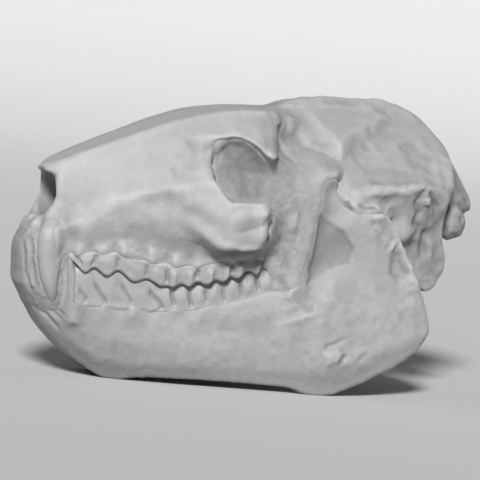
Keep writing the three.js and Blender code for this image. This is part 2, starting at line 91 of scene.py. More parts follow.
floor_radius = 2.2
rim_steps = ((1.14, 0.03), (1.12, 0.1), (1.08, 0.2), (1.04, 0.32), (1.01, 0.5))
bpy.ops.object.select_all(action="DESELECT")
bpy.ops.mesh.primitive_circle_add(vertices=96, radius=floor_radius, fill_type="NGON")
floor = bpy.context.object
floor.name = "floor"
bpy.ops.object.mode_set(mode="EDIT")
bpy.ops.mesh.select_all(action="SELECT")
for spread, lift in rim_steps:
    bpy.ops.mesh.extrude_region_move(TRANSFORM_OT_translate={"value": (0, 0, lift)})
    bpy.ops.transform.resize(value=(spread, spread, 1))
bpy.ops.mesh.delete(type="ONLY_FACE")
bpy.ops.object.mode_set(mode="OBJECT")
alone(floor)
bpy.ops.object.shade_smooth_by_angle(angle=math.radians(40))


def set_inputs(node, values):
    """Sets a shader node's own sockets by name."""
    for name, value in values.items():
        node.inputs[name].default_value = value
    return node


floor_finish = bpy.data.materials.new("pale_floor")
floor_finish.use_nodes = True
floor_shader = floor_finish.node_tree.nodes["Principled BSDF"]
set_inputs(floor_shader, {"Base Color": (0.5, 0.5, 0.5, 1), "Roughness": 0.9})
floor.data.materials.append(floor_finish)
print("floor rises to", round(max(v.co.z for v in floor.data.vertices), 2), "m at its rim")

# %% [markdown]
# One soft key light high at the front left models the bone, as in a museum photograph. A faint one
# from above and behind keeps the crest from going dark, and a pale sky fills the shadows. Suns are
# used, because they light the muzzle and the back of the head alike, and a wide sun is a soft one.

# %% Light
world = bpy.data.worlds.new("pale_sky")
bpy.context.scene.world = world
world.use_nodes = True
set_inputs(world.node_tree.nodes["Background"], {"Color": (1, 1, 1, 1), "Strength": 0.07})
bpy.context.scene.view_settings.view_transform = "Standard"


def soft_light(name, place, width, strength):
    """A lamp so far off that it lights everything evenly; width is the angle it fills, in degrees."""
    bpy.ops.object.light_add(type="SUN", location=Vector(place) * MM)
    light = bpy.context.object
    light.name = name
    light.data.angle = math.radians(width)
    light.data.energy = strength
    light.rotation_mode = "QUATERNION"
    light.rotation_quaternion = (Vector(place) - camera_target).to_track_quat("Z", "Y")
    print(name, "comes from", place)


soft_light("key_light", (-400, -845, 743), width=12, strength=4.5)
soft_light("overhead_light", (300, 500, 1300), width=60, strength=0.2)

# %% [markdown]
# Bone is grown, not built, so its pieces aren't put together from boxes and cylinders. Each one
# starts as a copy of the CAD solid, which already has the right size and place. The copy gets a new
# even skin with a voxel remesh, its facets are evened out, and then it is sculpted. These first
# helpers read and move the points of a skin, and make the copy.

# %% A skin and its points, in millimetres
def points_of(piece):
    flat = np.empty(len(piece.data.vertices) * 3, np.float32)
    piece.data.vertices.foreach_get("co", flat)
    return flat.reshape(-1, 3).astype(np.float64) / MM


def put_points(piece, points):
    piece.data.vertices.foreach_set("co", (points * MM).astype(np.float32).ravel())
    piece.data.update()


def normals_of(piece):
    flat = np.empty(len(piece.data.vertices) * 3, np.float32)
    piece.data.vertex_normals.foreach_get("vector", flat)
    return flat.reshape(-1, 3).astype(np.float64)


def edges_of(piece):
    flat = np.empty(len(piece.data.edges) * 2, np.int32)
    piece.data.edges.foreach_get("vertices", flat)
    return flat.reshape(-1, 2)


def applied(piece, kind, **settings):
    """Adds a modifier, sets it and applies it."""
    alone(piece)
    modifier = piece.modifiers.new(kind.lower(), kind)
    for setting, value in settings.items():
        setattr(modifier, setting, value)
    bpy.ops.object.modifier_apply(modifier=modifier.name)
    return piece


def in_edit_mode(piece, operator, **settings):
    """Runs one edit-mode operator on the whole skin of a piece."""
    alone(piece)
    bpy.ops.object.mode_set(mode="EDIT")
    bpy.ops.mesh.select_all(action="SELECT")
    operator(**settings)
    bpy.ops.object.mode_set(mode="OBJECT")


def copy_of(node, name):
    """A copy of a CAD node, its loose triangles merged into one skin."""
    piece = bpy.data.objects.new(name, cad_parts[node].data.copy())
    bpy.context.collection.objects.link(piece)
    piece.data.materials.clear()
    in_edit_mode(piece, bpy.ops.mesh.remove_doubles, threshold=1e-6)
    return piece


print("the solid cranium has", len(points_of(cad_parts["cranium"])), "points before they are merged")

# %% [markdown]
# A remeshed skin still shows the facets of the solid. Moving every point to the middle of its
# neighbours melts them, but shrinks the bone as well, so each such step is followed by a step back
# out, which keeps the size. Without the step back the skin melts, which is wanted in a few places.

# %% Evening out and melting
def neighbour_middles(piece):
    """A function that gives the middle of each point's neighbours on this skin."""
    a, b = edges_of(piece).T
    total = len(piece.data.vertices)
    count = np.maximum(np.bincount(np.append(a, b), minlength=total), 1).reshape(-1, 1)

    def middles(points):
        summed = [np.bincount(a, points[b, k], total) + np.bincount(b, points[a, k], total) for k in range(3)]
        return np.stack(summed, 1) / count

    return middles


def evened(piece, rounds, steps=(0.6, -0.61), where=None):
    """Evens out facets: each point moves to the middle of its neighbours and then back out a little.
    where(points) tells how freely each point moves, from 0 to 1."""
    points, middles = points_of(piece), neighbour_middles(piece)
    free = 1.0 if where is None else where(points).reshape(-1, 1)
    for _ in range(rounds):
        for step in steps:
            points += step * free * (middles(points) - points)
    put_points(piece, points)


def melted(piece, rounds, where):
    """Melts the skin where where(points) is 1: each point moves halfway and never back out."""
    evened(piece, rounds, (0.5,), where)


def eased(value):
    """0 below 0, 1 above 1, and a soft slope between them."""
    value = np.clip(value, 0, 1)
    return value * value * (3 - 2 * value)


def past(value, start, soft):
    """0 up to start, and 1 once the value is soft past it."""
    return eased((value - start) / soft)


def short_of(value, end, soft):
    """0 from end on, and 1 while the value is soft short of it."""
    return eased((end - value) / soft)


print("a quarter of the way up a soft slope:", eased(0.25))

# %% [markdown]
# A stroke is a line drawn on the bone in side view, and the skin along it is pushed in or pulled
# out. That is what a sculpting brush does, written down as numbers, so it gives the same bone each
# time. A patch does it to everything inside an outline, and a rough area makes its skin uneven.
# The hand isn't steady: a soft noise bends each line a little and changes its depth on the way.

# %% Strokes
def ripple(points, size, seed):
    """Smooth random waves between -1 and 1, about as long as size."""
    at = points / size + 37.3 * seed
    cell = np.floor(at).astype(np.int64)
    part = at - cell
    part = part * part * (3 - 2 * part)
    total = np.zeros(len(points))
    # each corner of a point's cell gets its own value, scrambled from the cell's place by large primes
    for corner in range(8):
        step = np.array([corner & 1, corner >> 1 & 1, corner >> 2 & 1])
        key_of = (cell + step) @ np.array([73856093, 19349663, 83492791]) + 7919 * seed
        key_of = (key_of ^ (key_of >> 13)) * 1274126177
        value = ((key_of ^ (key_of >> 16)) & 0xFFFF) / 32767.5 - 1
        total += value * np.prod(np.where(step, part, 1 - part), 1)
    return total


Stroke = namedtuple("Stroke", "kind amount width path view")


def line(amount, width, path, view="side"):
    """A drawn line, pulled out by amount, or pushed in where that is below 0."""
    return Stroke("line", amount, width, path, view)


def patch(amount, soft, outline, view="side"):
    """Everything inside an outline, with an edge as soft as soft."""
    return Stroke("patch", amount, soft, outline, view)


def rough(amount, grain, outline, view="side"):
    """Uneven skin inside an outline, its lumps about as long as grain."""
    return Stroke("rough", amount, grain, outline, view)


def seen_from(view, side):
    """The two axes of a view, and the way it looks."""
    return {
        "side": ((0, 2), (0, -side, 0)),
        "top": ((0, 1), (0, 0, -1)),
        "front": ((1, 2), (1, 0, 0)),
    }[view]


print("a drawn line:", line(-0.5, 1.0, [(0, 0), (4, 2)]))

# %% Where a line falls
def laid_on(piece, path, side, view):
    """The points of a drawn line where they meet the skin, seen from one side, the top or the front."""
    spacing, far_off = 1.5, 300.0
    path = np.array(path, float)
    dense = [path[:1]]
    for p, q in zip(path[:-1], path[1:]):
        count = max(2, int(np.ceil(np.hypot(*(q - p)) / spacing)))
        dense.append(p + (q - p) * np.linspace(0, 1, count + 1)[1:, None])
    axes, way = seen_from(view, side)
    found = []
    for u, v in np.vstack(dense):
        start = np.array(way) * -far_off
        start[axes[0]], start[axes[1]] = u, v
        if view != "side":
            start[1] = side * (v if view == "top" else u)
        hit, place, _, _ = piece.ray_cast(Vector(start) * MM, Vector(way))
        if hit:
            found.append(np.array(place) / MM)
    return np.array(found), np.array(way, float)


def line_push(stroke, points, outward, found, way, seed):
    """Which points a line moves, and how far out."""
    # the hand wanders a little across the line
    for k in range(3):
        found[:, k] += min(stroke.width * 0.25, 0.6) * ripple(found, 5, seed + k)
    # further off than this the push is nothing, and skin that faces away isn't touched
    reach = stroke.width * 2.2
    near = np.nonzero(np.all((points > found.min(0) - reach) & (points < found.max(0) + reach), 1))[0]
    facing = outward[near] @ -way
    near, facing = near[facing > -0.1], facing[facing > -0.1]
    best, reached = np.full(len(near), 1e9), np.zeros(len(near))
    steps = list(zip(found[:-1], found[1:])) or [(found[0], found[0])]
    length = 0.0
    for p, q in steps:
        span = q - p
        along = np.clip((points[near] - p) @ span / max(span @ span, 1e-9), 0, 1)
        distance = np.sqrt(((points[near] - (p + along[:, None] * span)) ** 2).sum(1))
        closer = distance < best
        best[closer] = distance[closer]
        reached[closer] = length + along[closer] * np.linalg.norm(span)
        length += np.linalg.norm(span)
    push = stroke.amount * np.exp(-((best / stroke.width) ** 2)) * np.clip(facing * 3 + 0.3, 0, 1)
    if length > 4:
        # a longer line runs out softly at both ends
        run_out = min(0.3 * length, 4 * stroke.width)
        push *= 0.15 + 0.85 * eased(np.minimum(reached, length - reached) / run_out)
    push *= 1 + 0.3 * ripple(points[near], 3.5, seed + 5)
    return near, push


print("lines can be laid on a skin")

# %% Where a patch falls
def inside_of(outline, flat):
    """How far points of a view lie inside an outline; outside it the distance is negative."""
    outline = np.array(outline, float)
    best, crossings = np.full(len(flat), 1e9), np.zeros(len(flat), bool)
    for p, q in zip(outline, np.roll(outline, -1, 0)):
        span = q - p
        along = np.clip((flat - p) @ span / (span @ span), 0, 1)
        best = np.minimum(best, np.hypot(*(flat - p - along[:, None] * span).T))
        if p[1] != q[1]:
            level = (flat[:, 1] > min(p[1], q[1])) & (flat[:, 1] <= max(p[1], q[1]))
            crossings ^= level & (flat[:, 0] < p[0] + (flat[:, 1] - p[1]) * span[0] / span[1])
    return np.where(crossings, best, -best)


def shown(piece, points, near, way):
    """Which of the near points are seen along the way, and not hidden by skin before them."""
    way = np.array(way, float)
    clear = np.zeros(len(near), bool)
    for number, place in enumerate(points[near]):
        hit, found, _, _ = piece.ray_cast(Vector(place - way * 200) * MM, Vector(way))
        clear[number] = hit and (Vector(place) * MM - found).length < 0.8 * MM
    return near[clear]


def area_push(stroke, piece, points, outward, side, seed):
    """Which points a patch or a rough area moves, and how far out."""
    axes, way = seen_from(stroke.view, side)
    flat = points[:, axes] * [1 if axis != 1 else side for axis in axes]
    outline = np.array(stroke.path, float)
    soft = stroke.width if stroke.kind == "patch" else 4.0
    near = np.all((flat > outline.min(0) - soft) & (flat < outline.max(0) + soft), 1)
    near = np.nonzero(near & (outward @ -np.array(way) > 0.05))[0]
    near = shown(piece, points, near, way)
    depth = inside_of(outline, flat[near]) + min(0.25 * soft, 0.9) * ripple(points[near], 5, seed)
    push = stroke.amount * eased(depth / soft + 0.5)
    if stroke.kind == "rough":
        lumps = ripple(points[near], stroke.width, seed + 1)
        push *= lumps + 0.5 * ripple(points[near], stroke.width * 0.45, seed + 2)
    return near, push


def sculpt(piece, strokes, seed):
    """Draws every stroke on both sides, all on the same skin."""
    alone(piece)
    bpy.context.view_layer.update()
    points, outward = points_of(piece), normals_of(piece)
    moved = np.zeros_like(points)
    for number, stroke in enumerate(strokes):
        for side in (LEFT, RIGHT):
            own_seed = seed * 100 + number * 7 + (side > 0) * 3
            if stroke.kind == "line":
                found, way = laid_on(piece, stroke.path, side, stroke.view)
                if not len(found):
                    continue
                near, push = line_push(stroke, points, outward, found, way, own_seed)
            else:
                near, push = area_push(stroke, piece, points, outward, side, own_seed)
            moved[near] += outward[near] * push[:, None]
    put_points(piece, points + moved)
    print(len(strokes), "strokes move", piece.name, "by up to", round(np.abs(moved).max(), 2), "mm")


square = [(0, 0), (4, 0), (4, 4), (0, 4)]
print("inside a square of 4 mm, the middle lies", inside_of(square, np.array([[2.0, 2.0]])), "mm deep")

# %% [markdown]
# Broad forms are easier to give as heights than as strokes. A mould sets the skin inside an outline
# to a smooth relief that passes through a few measured knots, each with its distance from the
# midline. A drag pulls a soft ball of skin, like the grab brush. Weathering goes over it all.

# %% Moulds, drags and weathering
def relief(knots):
    """A smooth height over a view that passes through knots (u, v, height)."""
    knots = np.array(knots, float)

    def spread(at):
        apart = at[:, None, :] - knots[None, :, :2]
        return np.sqrt((apart ** 2).sum(2) + 9)

    weights = np.linalg.solve(spread(knots[:, :2]), knots[:, 2])
    return lambda u, v: spread(np.stack([u, v], 1)) @ weights


def moulded(piece, outline, soft, knots):
    """Sets the skin inside a side-view outline to a relief of distances from the midline."""
    alone(piece)
    bpy.context.view_layer.update()
    points, outward = points_of(piece), normals_of(piece)
    height = relief(knots)
    outline = np.array(outline, float)
    for side in (LEFT, RIGHT):
        flat = points[:, (0, 2)]
        near = np.all((flat > outline.min(0) - soft) & (flat < outline.max(0) + soft), 1)
        near = np.nonzero(near & (outward[:, 1] * side > 0.02))[0]
        near = shown(piece, points, near, (0, -side, 0))
        share = eased(inside_of(outline, flat[near]) / soft + 0.5)
        wanted = side * height(points[near, 0], points[near, 2])
        points[near, 1] += share * (wanted - points[near, 1])
    put_points(piece, points)


def dragged(piece, grabs):
    """Pulls a soft ball of skin on both sides. A grab is (centre, radius, move), and centre and move
    are x, distance from the midline, z."""
    points = points_of(piece)
    for centre, radius, move in grabs:
        for side in (LEFT, RIGHT):
            flip = np.array([1, side, 1])
            away = np.sqrt(((points - np.array(centre) * flip) ** 2).sum(1))
            points += np.exp(-((away / radius) ** 2))[:, None] * (np.array(move) * flip)
    put_points(piece, points)


def weathered(piece, wave, grain, seed):
    """Uneven growth and fine weathering over the whole skin."""
    points, outward = points_of(piece), normals_of(piece)
    push = wave * ripple(points, 16, seed) + 0.5 * wave * ripple(points, 7, seed + 1)
    push += grain * ripple(points, 2.6, seed + 2) + 0.6 * grain * ripple(points, 1.2, seed + 3)
    put_points(piece, points + outward * push[:, None])


dome = relief([(0, 0, 0), (10, 0, 0), (0, 10, 0), (10, 10, 0), (5, 5, 4)])
print("a relief with a knot 4 mm high is", dome(np.array([5.0]), np.array([5.0])), "mm high there")

# %% [markdown]
# Fossil bone is a dull mineral grey. Its colour drifts a little from place to place, fine pores dot
# it, and it stays dull because light also scatters in the roughness of the surface. Noise nodes on
# Object coordinates give the drift, the pores and a fine bump, so nothing has to be unwrapped.

# %% Finishes
def stone_finish(name, base, drift, roughness, pore_scale, bump, painted_shade_depth):
    """Drifting grey, pores and bumps, with painted shade in hollows, as deep as the last argument sets, and a
    painted highlight on ridges.
    """
    finish = bpy.data.materials.new(name)
    finish.use_nodes = True
    nodes, links = finish.node_tree.nodes, finish.node_tree.links
    shader = set_inputs(nodes["Principled BSDF"], {"Roughness": roughness, "Specular IOR Level": 0.55})
    where = nodes.new("ShaderNodeTexCoord")
    clouds = set_inputs(nodes.new("ShaderNodeTexNoise"), {"Scale": 45, "Detail": 6, "Roughness": 0.6})
    tones = nodes.new("ShaderNodeValToRGB")
    tones.color_ramp.elements[0].position = 0.3
    tones.color_ramp.elements[1].position = 0.72
    tones.color_ramp.elements[0].color = (*[base * (1 - drift)] * 3, 1)
    tones.color_ramp.elements[1].color = (*[base * (1 + drift)] * 3, 1)
    pores = set_inputs(nodes.new("ShaderNodeTexNoise"), {"Scale": pore_scale, "Detail": 4})
    hollow = nodes.new("ShaderNodeAttribute")
    hollow.attribute_name = "hollow"
    # the hollow value turns into painted shade in grooves and a painted highlight on ridges
    shade_and_highlight = set_inputs(nodes.new("ShaderNodeMapRange"), {
        "From Min": -1, "From Max": 1, "To Min": 1 + painted_shade_depth * 0.6, "To Max": 1 - painted_shade_depth,
    })
    shaded_tone = nodes.new("ShaderNodeMix")
    shaded_tone.data_type = "RGBA"
    shaded_tone.blend_type = "MULTIPLY"
    set_inputs(shaded_tone, {"Factor": 1})
    skin_bump = set_inputs(nodes.new("ShaderNodeBump"), {"Strength": bump, "Distance": 0.5 * MM})
    links.new(where.outputs["Object"], clouds.inputs["Vector"])
    links.new(where.outputs["Object"], pores.inputs["Vector"])
    links.new(clouds.outputs["Fac"], tones.inputs["Fac"])
    links.new(hollow.outputs["Fac"], shade_and_highlight.inputs["Value"])
    links.new(tones.outputs["Color"], shaded_tone.inputs["A"])
    links.new(shade_and_highlight.outputs["Result"], shaded_tone.inputs["B"])
    links.new(shaded_tone.outputs["Result"], shader.inputs["Base Color"])
    links.new(pores.outputs["Fac"], skin_bump.inputs["Height"])
    links.new(skin_bump.outputs["Normal"], shader.inputs["Normal"])
    return finish


bone_finish = stone_finish(
    "fossil_bone", base=0.31, drift=0.04, roughness=0.62, pore_scale=900, bump=0.35, painted_shade_depth=0.4)
enamel_finish = stone_finish(
    "fossil_enamel", base=0.3, drift=0.04, roughness=0.56, pore_scale=700, bump=0.2, painted_shade_depth=0.4)
matrix_finish = stone_finish(
    "rock_matrix", base=0.29, drift=0.06, roughness=0.8, pore_scale=600, bump=0.5, painted_shade_depth=0.4)
print("finishes:", bone_finish.name, enamel_finish.name, matrix_finish.name)

# %% [markdown]
# Grooves and openings get painted shade, and ridges a painted highlight. Each piece carries a
# "hollow" value for that, measured on its own points by how far they lie below a melted copy of the
# skin. The finish darkens or brightens the bone by it, so the painted shade follows every groove.

# %% Painted shade, and what the frame needs to know about a piece
def hollows_of(piece, extra_shade_and_highlight=None):
    """How deep each point lies in a groove, or how far it stands out on a ridge, from -1 to 1.
    A function of the points, if given, adds painted shade to it, or takes some off for a painted highlight."""
    points, outward, middles = points_of(piece), normals_of(piece), neighbour_middles(piece)
    soft, depth = points.copy(), np.zeros(len(points))
    for rounds, fullness in ((6, 0.3), (50, 1.6)):
        for _ in range(rounds):
            soft = middles(soft)
        depth += 0.5 * np.clip(((soft - points) * outward).sum(1) / fullness, -1, 1)
    if extra_shade_and_highlight:
        depth = np.clip(depth + extra_shade_and_highlight(points), -1, 1)
    attribute = piece.data.attributes.new("hollow", "FLOAT", "POINT")
    attribute.data.foreach_set("value", depth.astype(np.float32))
    return depth


def placed(piece, finish, node_slot, *nodes, extra_shade_and_highlight=None):
    """Smooth shading, the painted shade and highlight and the finish, and the body and nodes that a piece
    stands for; node_slot is not used.
    """
    depth = hollows_of(piece, extra_shade_and_highlight)
    alone(piece)
    bpy.ops.object.shade_smooth()
    piece.data.materials.clear()
    piece.data.materials.append(finish)
    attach(piece, "root")
    if nodes:
        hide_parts(*nodes)
    print(piece.name, len(piece.data.polygons), "faces, mean stain", round(depth.mean(), 3))


print("pieces can be finished")

# %% [markdown]
# The upper and lower cheek teeth are bedded in the bone at these distances from the midline. The
# CAD teeth are plain blocks. On the copy they are drawn in towards their own middle, so that they
# hide inside the finished teeth, which are modelled further down.

# %% Where the tooth rows lie
upper_gum = [
    (-86, 52), (-74, 53.4), (-66, 54), (-57, 51.8), (-49, 50.8), (-41, 50.4), (-33, 51.3), (-25, 53),
    (-16, 55), (-4, 56.5),
]
upper_outer = [
    (-86, 20.8), (-82, 22.2), (-74, 24.6), (-66, 26.4), (-57, 28.4), (-49, 30.2), (-41, 32.2), (-33, 34.1),
    (-24, 35.5), (-16, 36.3), (-3, 35.4),
]
lower_gum = [(-82, 32), (-59, 32.3), (-47, 32), (-35, 33), (-22, 35.5), (-10, 39), (-3, 42), (4, 43.5)]
lower_outer = [
    (-86, 19.4), (-82, 20.6), (-75, 21.8), (-65, 24.2), (-52, 27.4), (-36, 30.2), (-21, 32.3), (-6, 33.7),
    (4, 34.6),
]


def line_at(knots, x):
    """A value read off a list of (x, value) knots."""
    xs, values = zip(*knots)
    return np.interp(x, xs, values)


def drawn_in(piece, gum, outer, tooth_width, up, reach):
    """Shrinks the plain block teeth of a copy between the two x of reach; up is 1 where the crowns point
    up, and -1 where they point down."""
    points = points_of(piece)
    x, h, z = points[:, 0], np.abs(points[:, 1]), points[:, 2]
    edge = line_at(gum, x)
    crown = np.clip((z - edge) * up / 2, 0, 1) * ((x > reach[0]) & (x < reach[1]) & (h > 6))
    middle = line_at(outer, x) - tooth_width / 2
    crown *= np.abs(h - middle) < tooth_width / 2 + 3
    points[:, 1] = np.sign(points[:, 1]) * (h + crown * (middle - h) * 0.45)
    points[:, 2] = z + crown * (edge - z) * 0.45
    put_points(piece, points)


print("the gum under the first upper molar lies at z =", round(line_at(upper_gum, -38), 1))

# %% [markdown]
# The cranium. A boolean cuts the nasal opening: a squashed ball hollows the nose, and a wedge takes
# off what stands before its slanted rim. The wedge is a cube whose points are moved to the slant.
# The voxel remesh that follows turns the cut and the facets into one even skin.

# %% Cranium, its nasal opening
def block_of(cuts):
    """A cube from -1 to 1 with subdivided faces, to be moved into shape."""
    bpy.ops.object.select_all(action="DESELECT")
    bpy.ops.mesh.primitive_cube_add(size=2)
    block = bpy.context.object
    in_edit_mode(block, bpy.ops.mesh.subdivide, number_cuts=cuts)
    return block


def cut_away(piece, cutter):
    applied(piece, "BOOLEAN", object=cutter, operation="DIFFERENCE")
    bpy.data.objects.remove(cutter)


COARSE, FINE = 1.0 * MM, 0.5 * MM
nose_middle, nose_reach = (-99, 0, 76), (20, 13.2, 10.5)
cranium = copy_of("cranium", "cranium_bone")
bpy.ops.object.select_all(action="DESELECT")
nose_place = [value * MM for value in nose_middle]
bpy.ops.mesh.primitive_uv_sphere_add(segments=48, ring_count=24, radius=MM, location=nose_place)
nose_ball = bpy.context.object
nose_ball.scale = nose_reach
cut_away(cranium, nose_ball)

# at the wedge's three levels: x and z of its slanted back face, and z of its front face
levels, rim_x, rim_z, ahead_z = (-1, 0, 1), (-97, -91.8, -92), (63.5, 74.5, 85.4), (59.5, 74.5, 85.4)
wedge_front, wedge_side = -112, 30
wedge = block_of(1)
a, b, c = (points_of(wedge) * MM).T
back_x, back_z, front_z = (np.interp(c, levels, knots) for knots in (rim_x, rim_z, ahead_z))
share = (a + 1) / 2
put_points(wedge, np.stack([
    wedge_front + (back_x - wedge_front) * share, wedge_side * b, front_z + (back_z - front_z) * share,
], 1))
cut_away(cranium, wedge)
applied(cranium, "REMESH", mode="VOXEL", voxel_size=COARSE)
print("cranium skin has", len(cranium.data.vertices), "points")

# %% [markdown]
# Then the big forms. The brow is a thin plane behind the eye that a mould draws out of the block,
# and the cheek bone ends in a broken stub with a ridge over a flat face. A finer remesh follows,
# because a mould stretches the skin at its edge.

# %% Cranium, its brow and cheek stub
evened(cranium, 50)
drawn_in(cranium, upper_gum, upper_outer, tooth_width=11, up=-1, reach=(-84, -3))
dragged(cranium, [
    ((57, 31, 72), 7, (0, 3, -4)),
    ((-9, 50, 76), 4, (0.8, 0.3, 0.8)),
    ((-9, 50, 67), 4, (0.8, 0.3, 0)),
    ((-8, 49, 61), 3.5, (0, -0.6, 1.6)),
    ((-92, 20.6, 37.5), 4.5, (0.4, -3.4, 3)),
    ((-102, 3, 46), 9, (2.0, 0, 0)),
    ((-98.5, 11.5, 46), 6, (1.4, -1.0, 0)),
])
brow_plane = [
    (-20, 116), (-20, 109), (-12, 103.5), (-7.5, 98.5), (0.5, 99), (-0.6, 104), (-2, 110), (-3.2, 114),
    (-6, 118),
]
moulded(cranium, brow_plane, 2, [
    (-24, 112, 31.9), (-20, 116, 27), (-16, 116, 27.2), (-12, 116, 27), (-8, 115, 27), (-20, 113, 31),
    (-20, 108, 37.4), (-16, 113, 31), (-16, 108, 37), (-13.6, 103.6, 40.6), (-12, 113, 30.4),
    (-12, 107.5, 37), (-10.2, 101, 41), (-8, 112, 30), (-8, 105, 36.6), (-6, 100, 41), (-4, 115, 26),
    (-4, 110, 30.4), (-4, 105, 33.4), (-3, 100.5, 35.5), (-2, 112, 27.4), (-1.5, 106, 29.8),
    (0.5, 100.5, 30),
])
broken_cheek_bone = [
    (-28, 70), (-24, 80.5), (-10, 81.5), (-5, 78.5), (-5, 64), (-9, 62.6), (-26, 62), (-28, 62.8),
]
moulded(cranium, broken_cheek_bone, 2, [
    (-31, 72, 46), (-31, 68, 45.3), (-31, 64.5, 44.6), (-28, 77, 47.8), (-28, 74, 47.9), (-28, 70, 47.3),
    (-28, 66, 46.5), (-28, 63, 46.1), (-22, 78.5, 49), (-22, 75, 49.8), (-22, 71, 49.3), (-22, 68.4, 48.7),
    (-22, 66, 48.6), (-22, 63, 48.1), (-16, 79, 49.4), (-16, 76, 50.5), (-16, 73, 50.1), (-16, 70.6, 49.4),
    (-16, 68.5, 49.5), (-16, 66, 49.5), (-16, 63, 48.8), (-10, 79.5, 48.6), (-10, 77, 50.6),
    (-10, 74.8, 50.1), (-10, 72.6, 49.3), (-10, 70.5, 49.8), (-10, 68, 50), (-10, 65.5, 49.4),
    (-10, 63.5, 48), (-6.5, 77, 44), (-6.5, 73, 43.5), (-6.5, 69, 43), (-6.5, 65, 41),
])
applied(cranium, "REMESH", mode="VOXEL", voxel_size=FINE)
evened(cranium, 8)
# the worn bone round the upper front teeth
melted(cranium, 40, lambda p: short_of(p[:, 0], -94, 3) * short_of(p[:, 2], 64, 4))
print("cranium skin has", len(cranium.data.vertices), "points")

# %% [markdown]
# Next come the broad forms: the pit in front of the eye, the hollow under the cheek ridge, the
# triangle on the braincase, the root of the jaw joint. They are patches and wide lines, all drawn on
# the same skin. The solid's hollows are cut a little too deep, so some strokes fill them up again,
# which leaves a softer hollow than a cut alone.

# %% Cranium, its broad forms
hollow_under_cheek = [
    (-87, 64), (-82, 71), (-75, 76), (-66, 79), (-57, 79), (-50, 76), (-42, 71.5), (-34, 66.5), (-26, 61.5),
    (-33, 59.5), (-42, 61), (-52, 64), (-62, 65), (-72, 64), (-80, 61),
]
lacrimal_pit = [
    (-42, 102.8), (-38, 102.1), (-33.6, 100.4), (-32.8, 96.3), (-37.6, 92.8), (-41.7, 93.6), (-44.2, 97.3),
]
braincase_triangle = [
    (8, 121), (18.5, 116.7), (21.7, 111.9), (26, 108.1), (28, 104.5), (30.5, 101.5), (32.9, 105.3),
    (38.1, 109), (43.6, 111), (49.4, 113.9), (57, 119), (50, 124), (20, 124),
]
jaw_joint_root = [(29, 92), (45, 93), (60, 95), (72, 95), (66, 86), (54, 82), (44, 79), (34, 78), (29, 82)]
back_of_braincase = [(52, 118), (64, 121), (76, 112), (80, 100), (72, 96), (56, 98), (46, 104)]
cranium_forms = [
    # the face
    patch(2.4, 12, hollow_under_cheek),
    patch(0.8, 10, [(-46, 63), (-42, 66), (-34, 62.5), (-27, 60), (-30, 57.5), (-40, 59)]),
    line(0.8, 5, [(-76, 60.5), (-66, 60), (-54, 57.5), (-44, 57)]),
    line(0.9, 5, [(-56, 87), (-50, 85), (-44, 80.5), (-37, 76.5), (-30, 73), (-24, 70)]),
    patch(-1.5, 7, lacrimal_pit),
    line(0.4, 1.6, [(-33.4, 104), (-32.6, 101), (-32, 96), (-32.2, 92), (-34, 89)]),
    # the braincase and the back of the head
    patch(2.0, 6, braincase_triangle),
    line(-1.8, 5, [(6, 112), (9, 109), (13, 106.4), (19, 105), (27, 102)]),
    line(-1.2, 5.5, [(34, 101), (40, 104.5), (48, 107)]),
    patch(2.4, 6, [(-0.5, 117.5), (0.5, 113.5), (4, 110.5), (9, 111), (12, 115), (8, 118.5)]),
    patch(1.6, 4, [(87, 86), (96, 88), (99, 82), (92, 80), (87, 81)]),
    line(0.9, 2.6, [(31, 87), (40, 89.4), (50, 90.2), (60, 91.5), (69, 92.6)]),
    line(0.8, 3.4, [(80, 108), (81.5, 101), (81.5, 94), (80.5, 88)]),
    patch(-0.9, 5, [(60, 108), (68, 110), (74, 104), (72, 98), (64, 98)]),
    # the brow's tip, the jaw joint, the edge of the muzzle and the lip under the nose
    line(0.4, 2.0, [(-13, 105.2), (-9.5, 102), (-6.4, 99.6)]),
    patch(3.2, 5, [(30, 76), (34, 82.4), (44, 83), (49, 82), (51, 78), (47, 74), (36, 72)]),
    patch(1.0, 6, [(52, 74), (58, 76), (62, 72), (62, 64), (58, 60), (54, 66)]),
    patch(-0.9, 5, [(-92, 66), (-87, 67), (-84, 60), (-87, 54), (-89.5, 52), (-90, 58)]),
    line(1.8, 3, [(0, 64.5), (6, 64), (11, 62.5)], "front"),
]
sculpt(cranium, cranium_forms, 1)
# the front of the crest, where it runs out into the brow
melted(cranium, 60, lambda p: past(p[:, 2], 113.5, 3) * short_of(np.abs(p[:, 0] - 2), 8, 3))
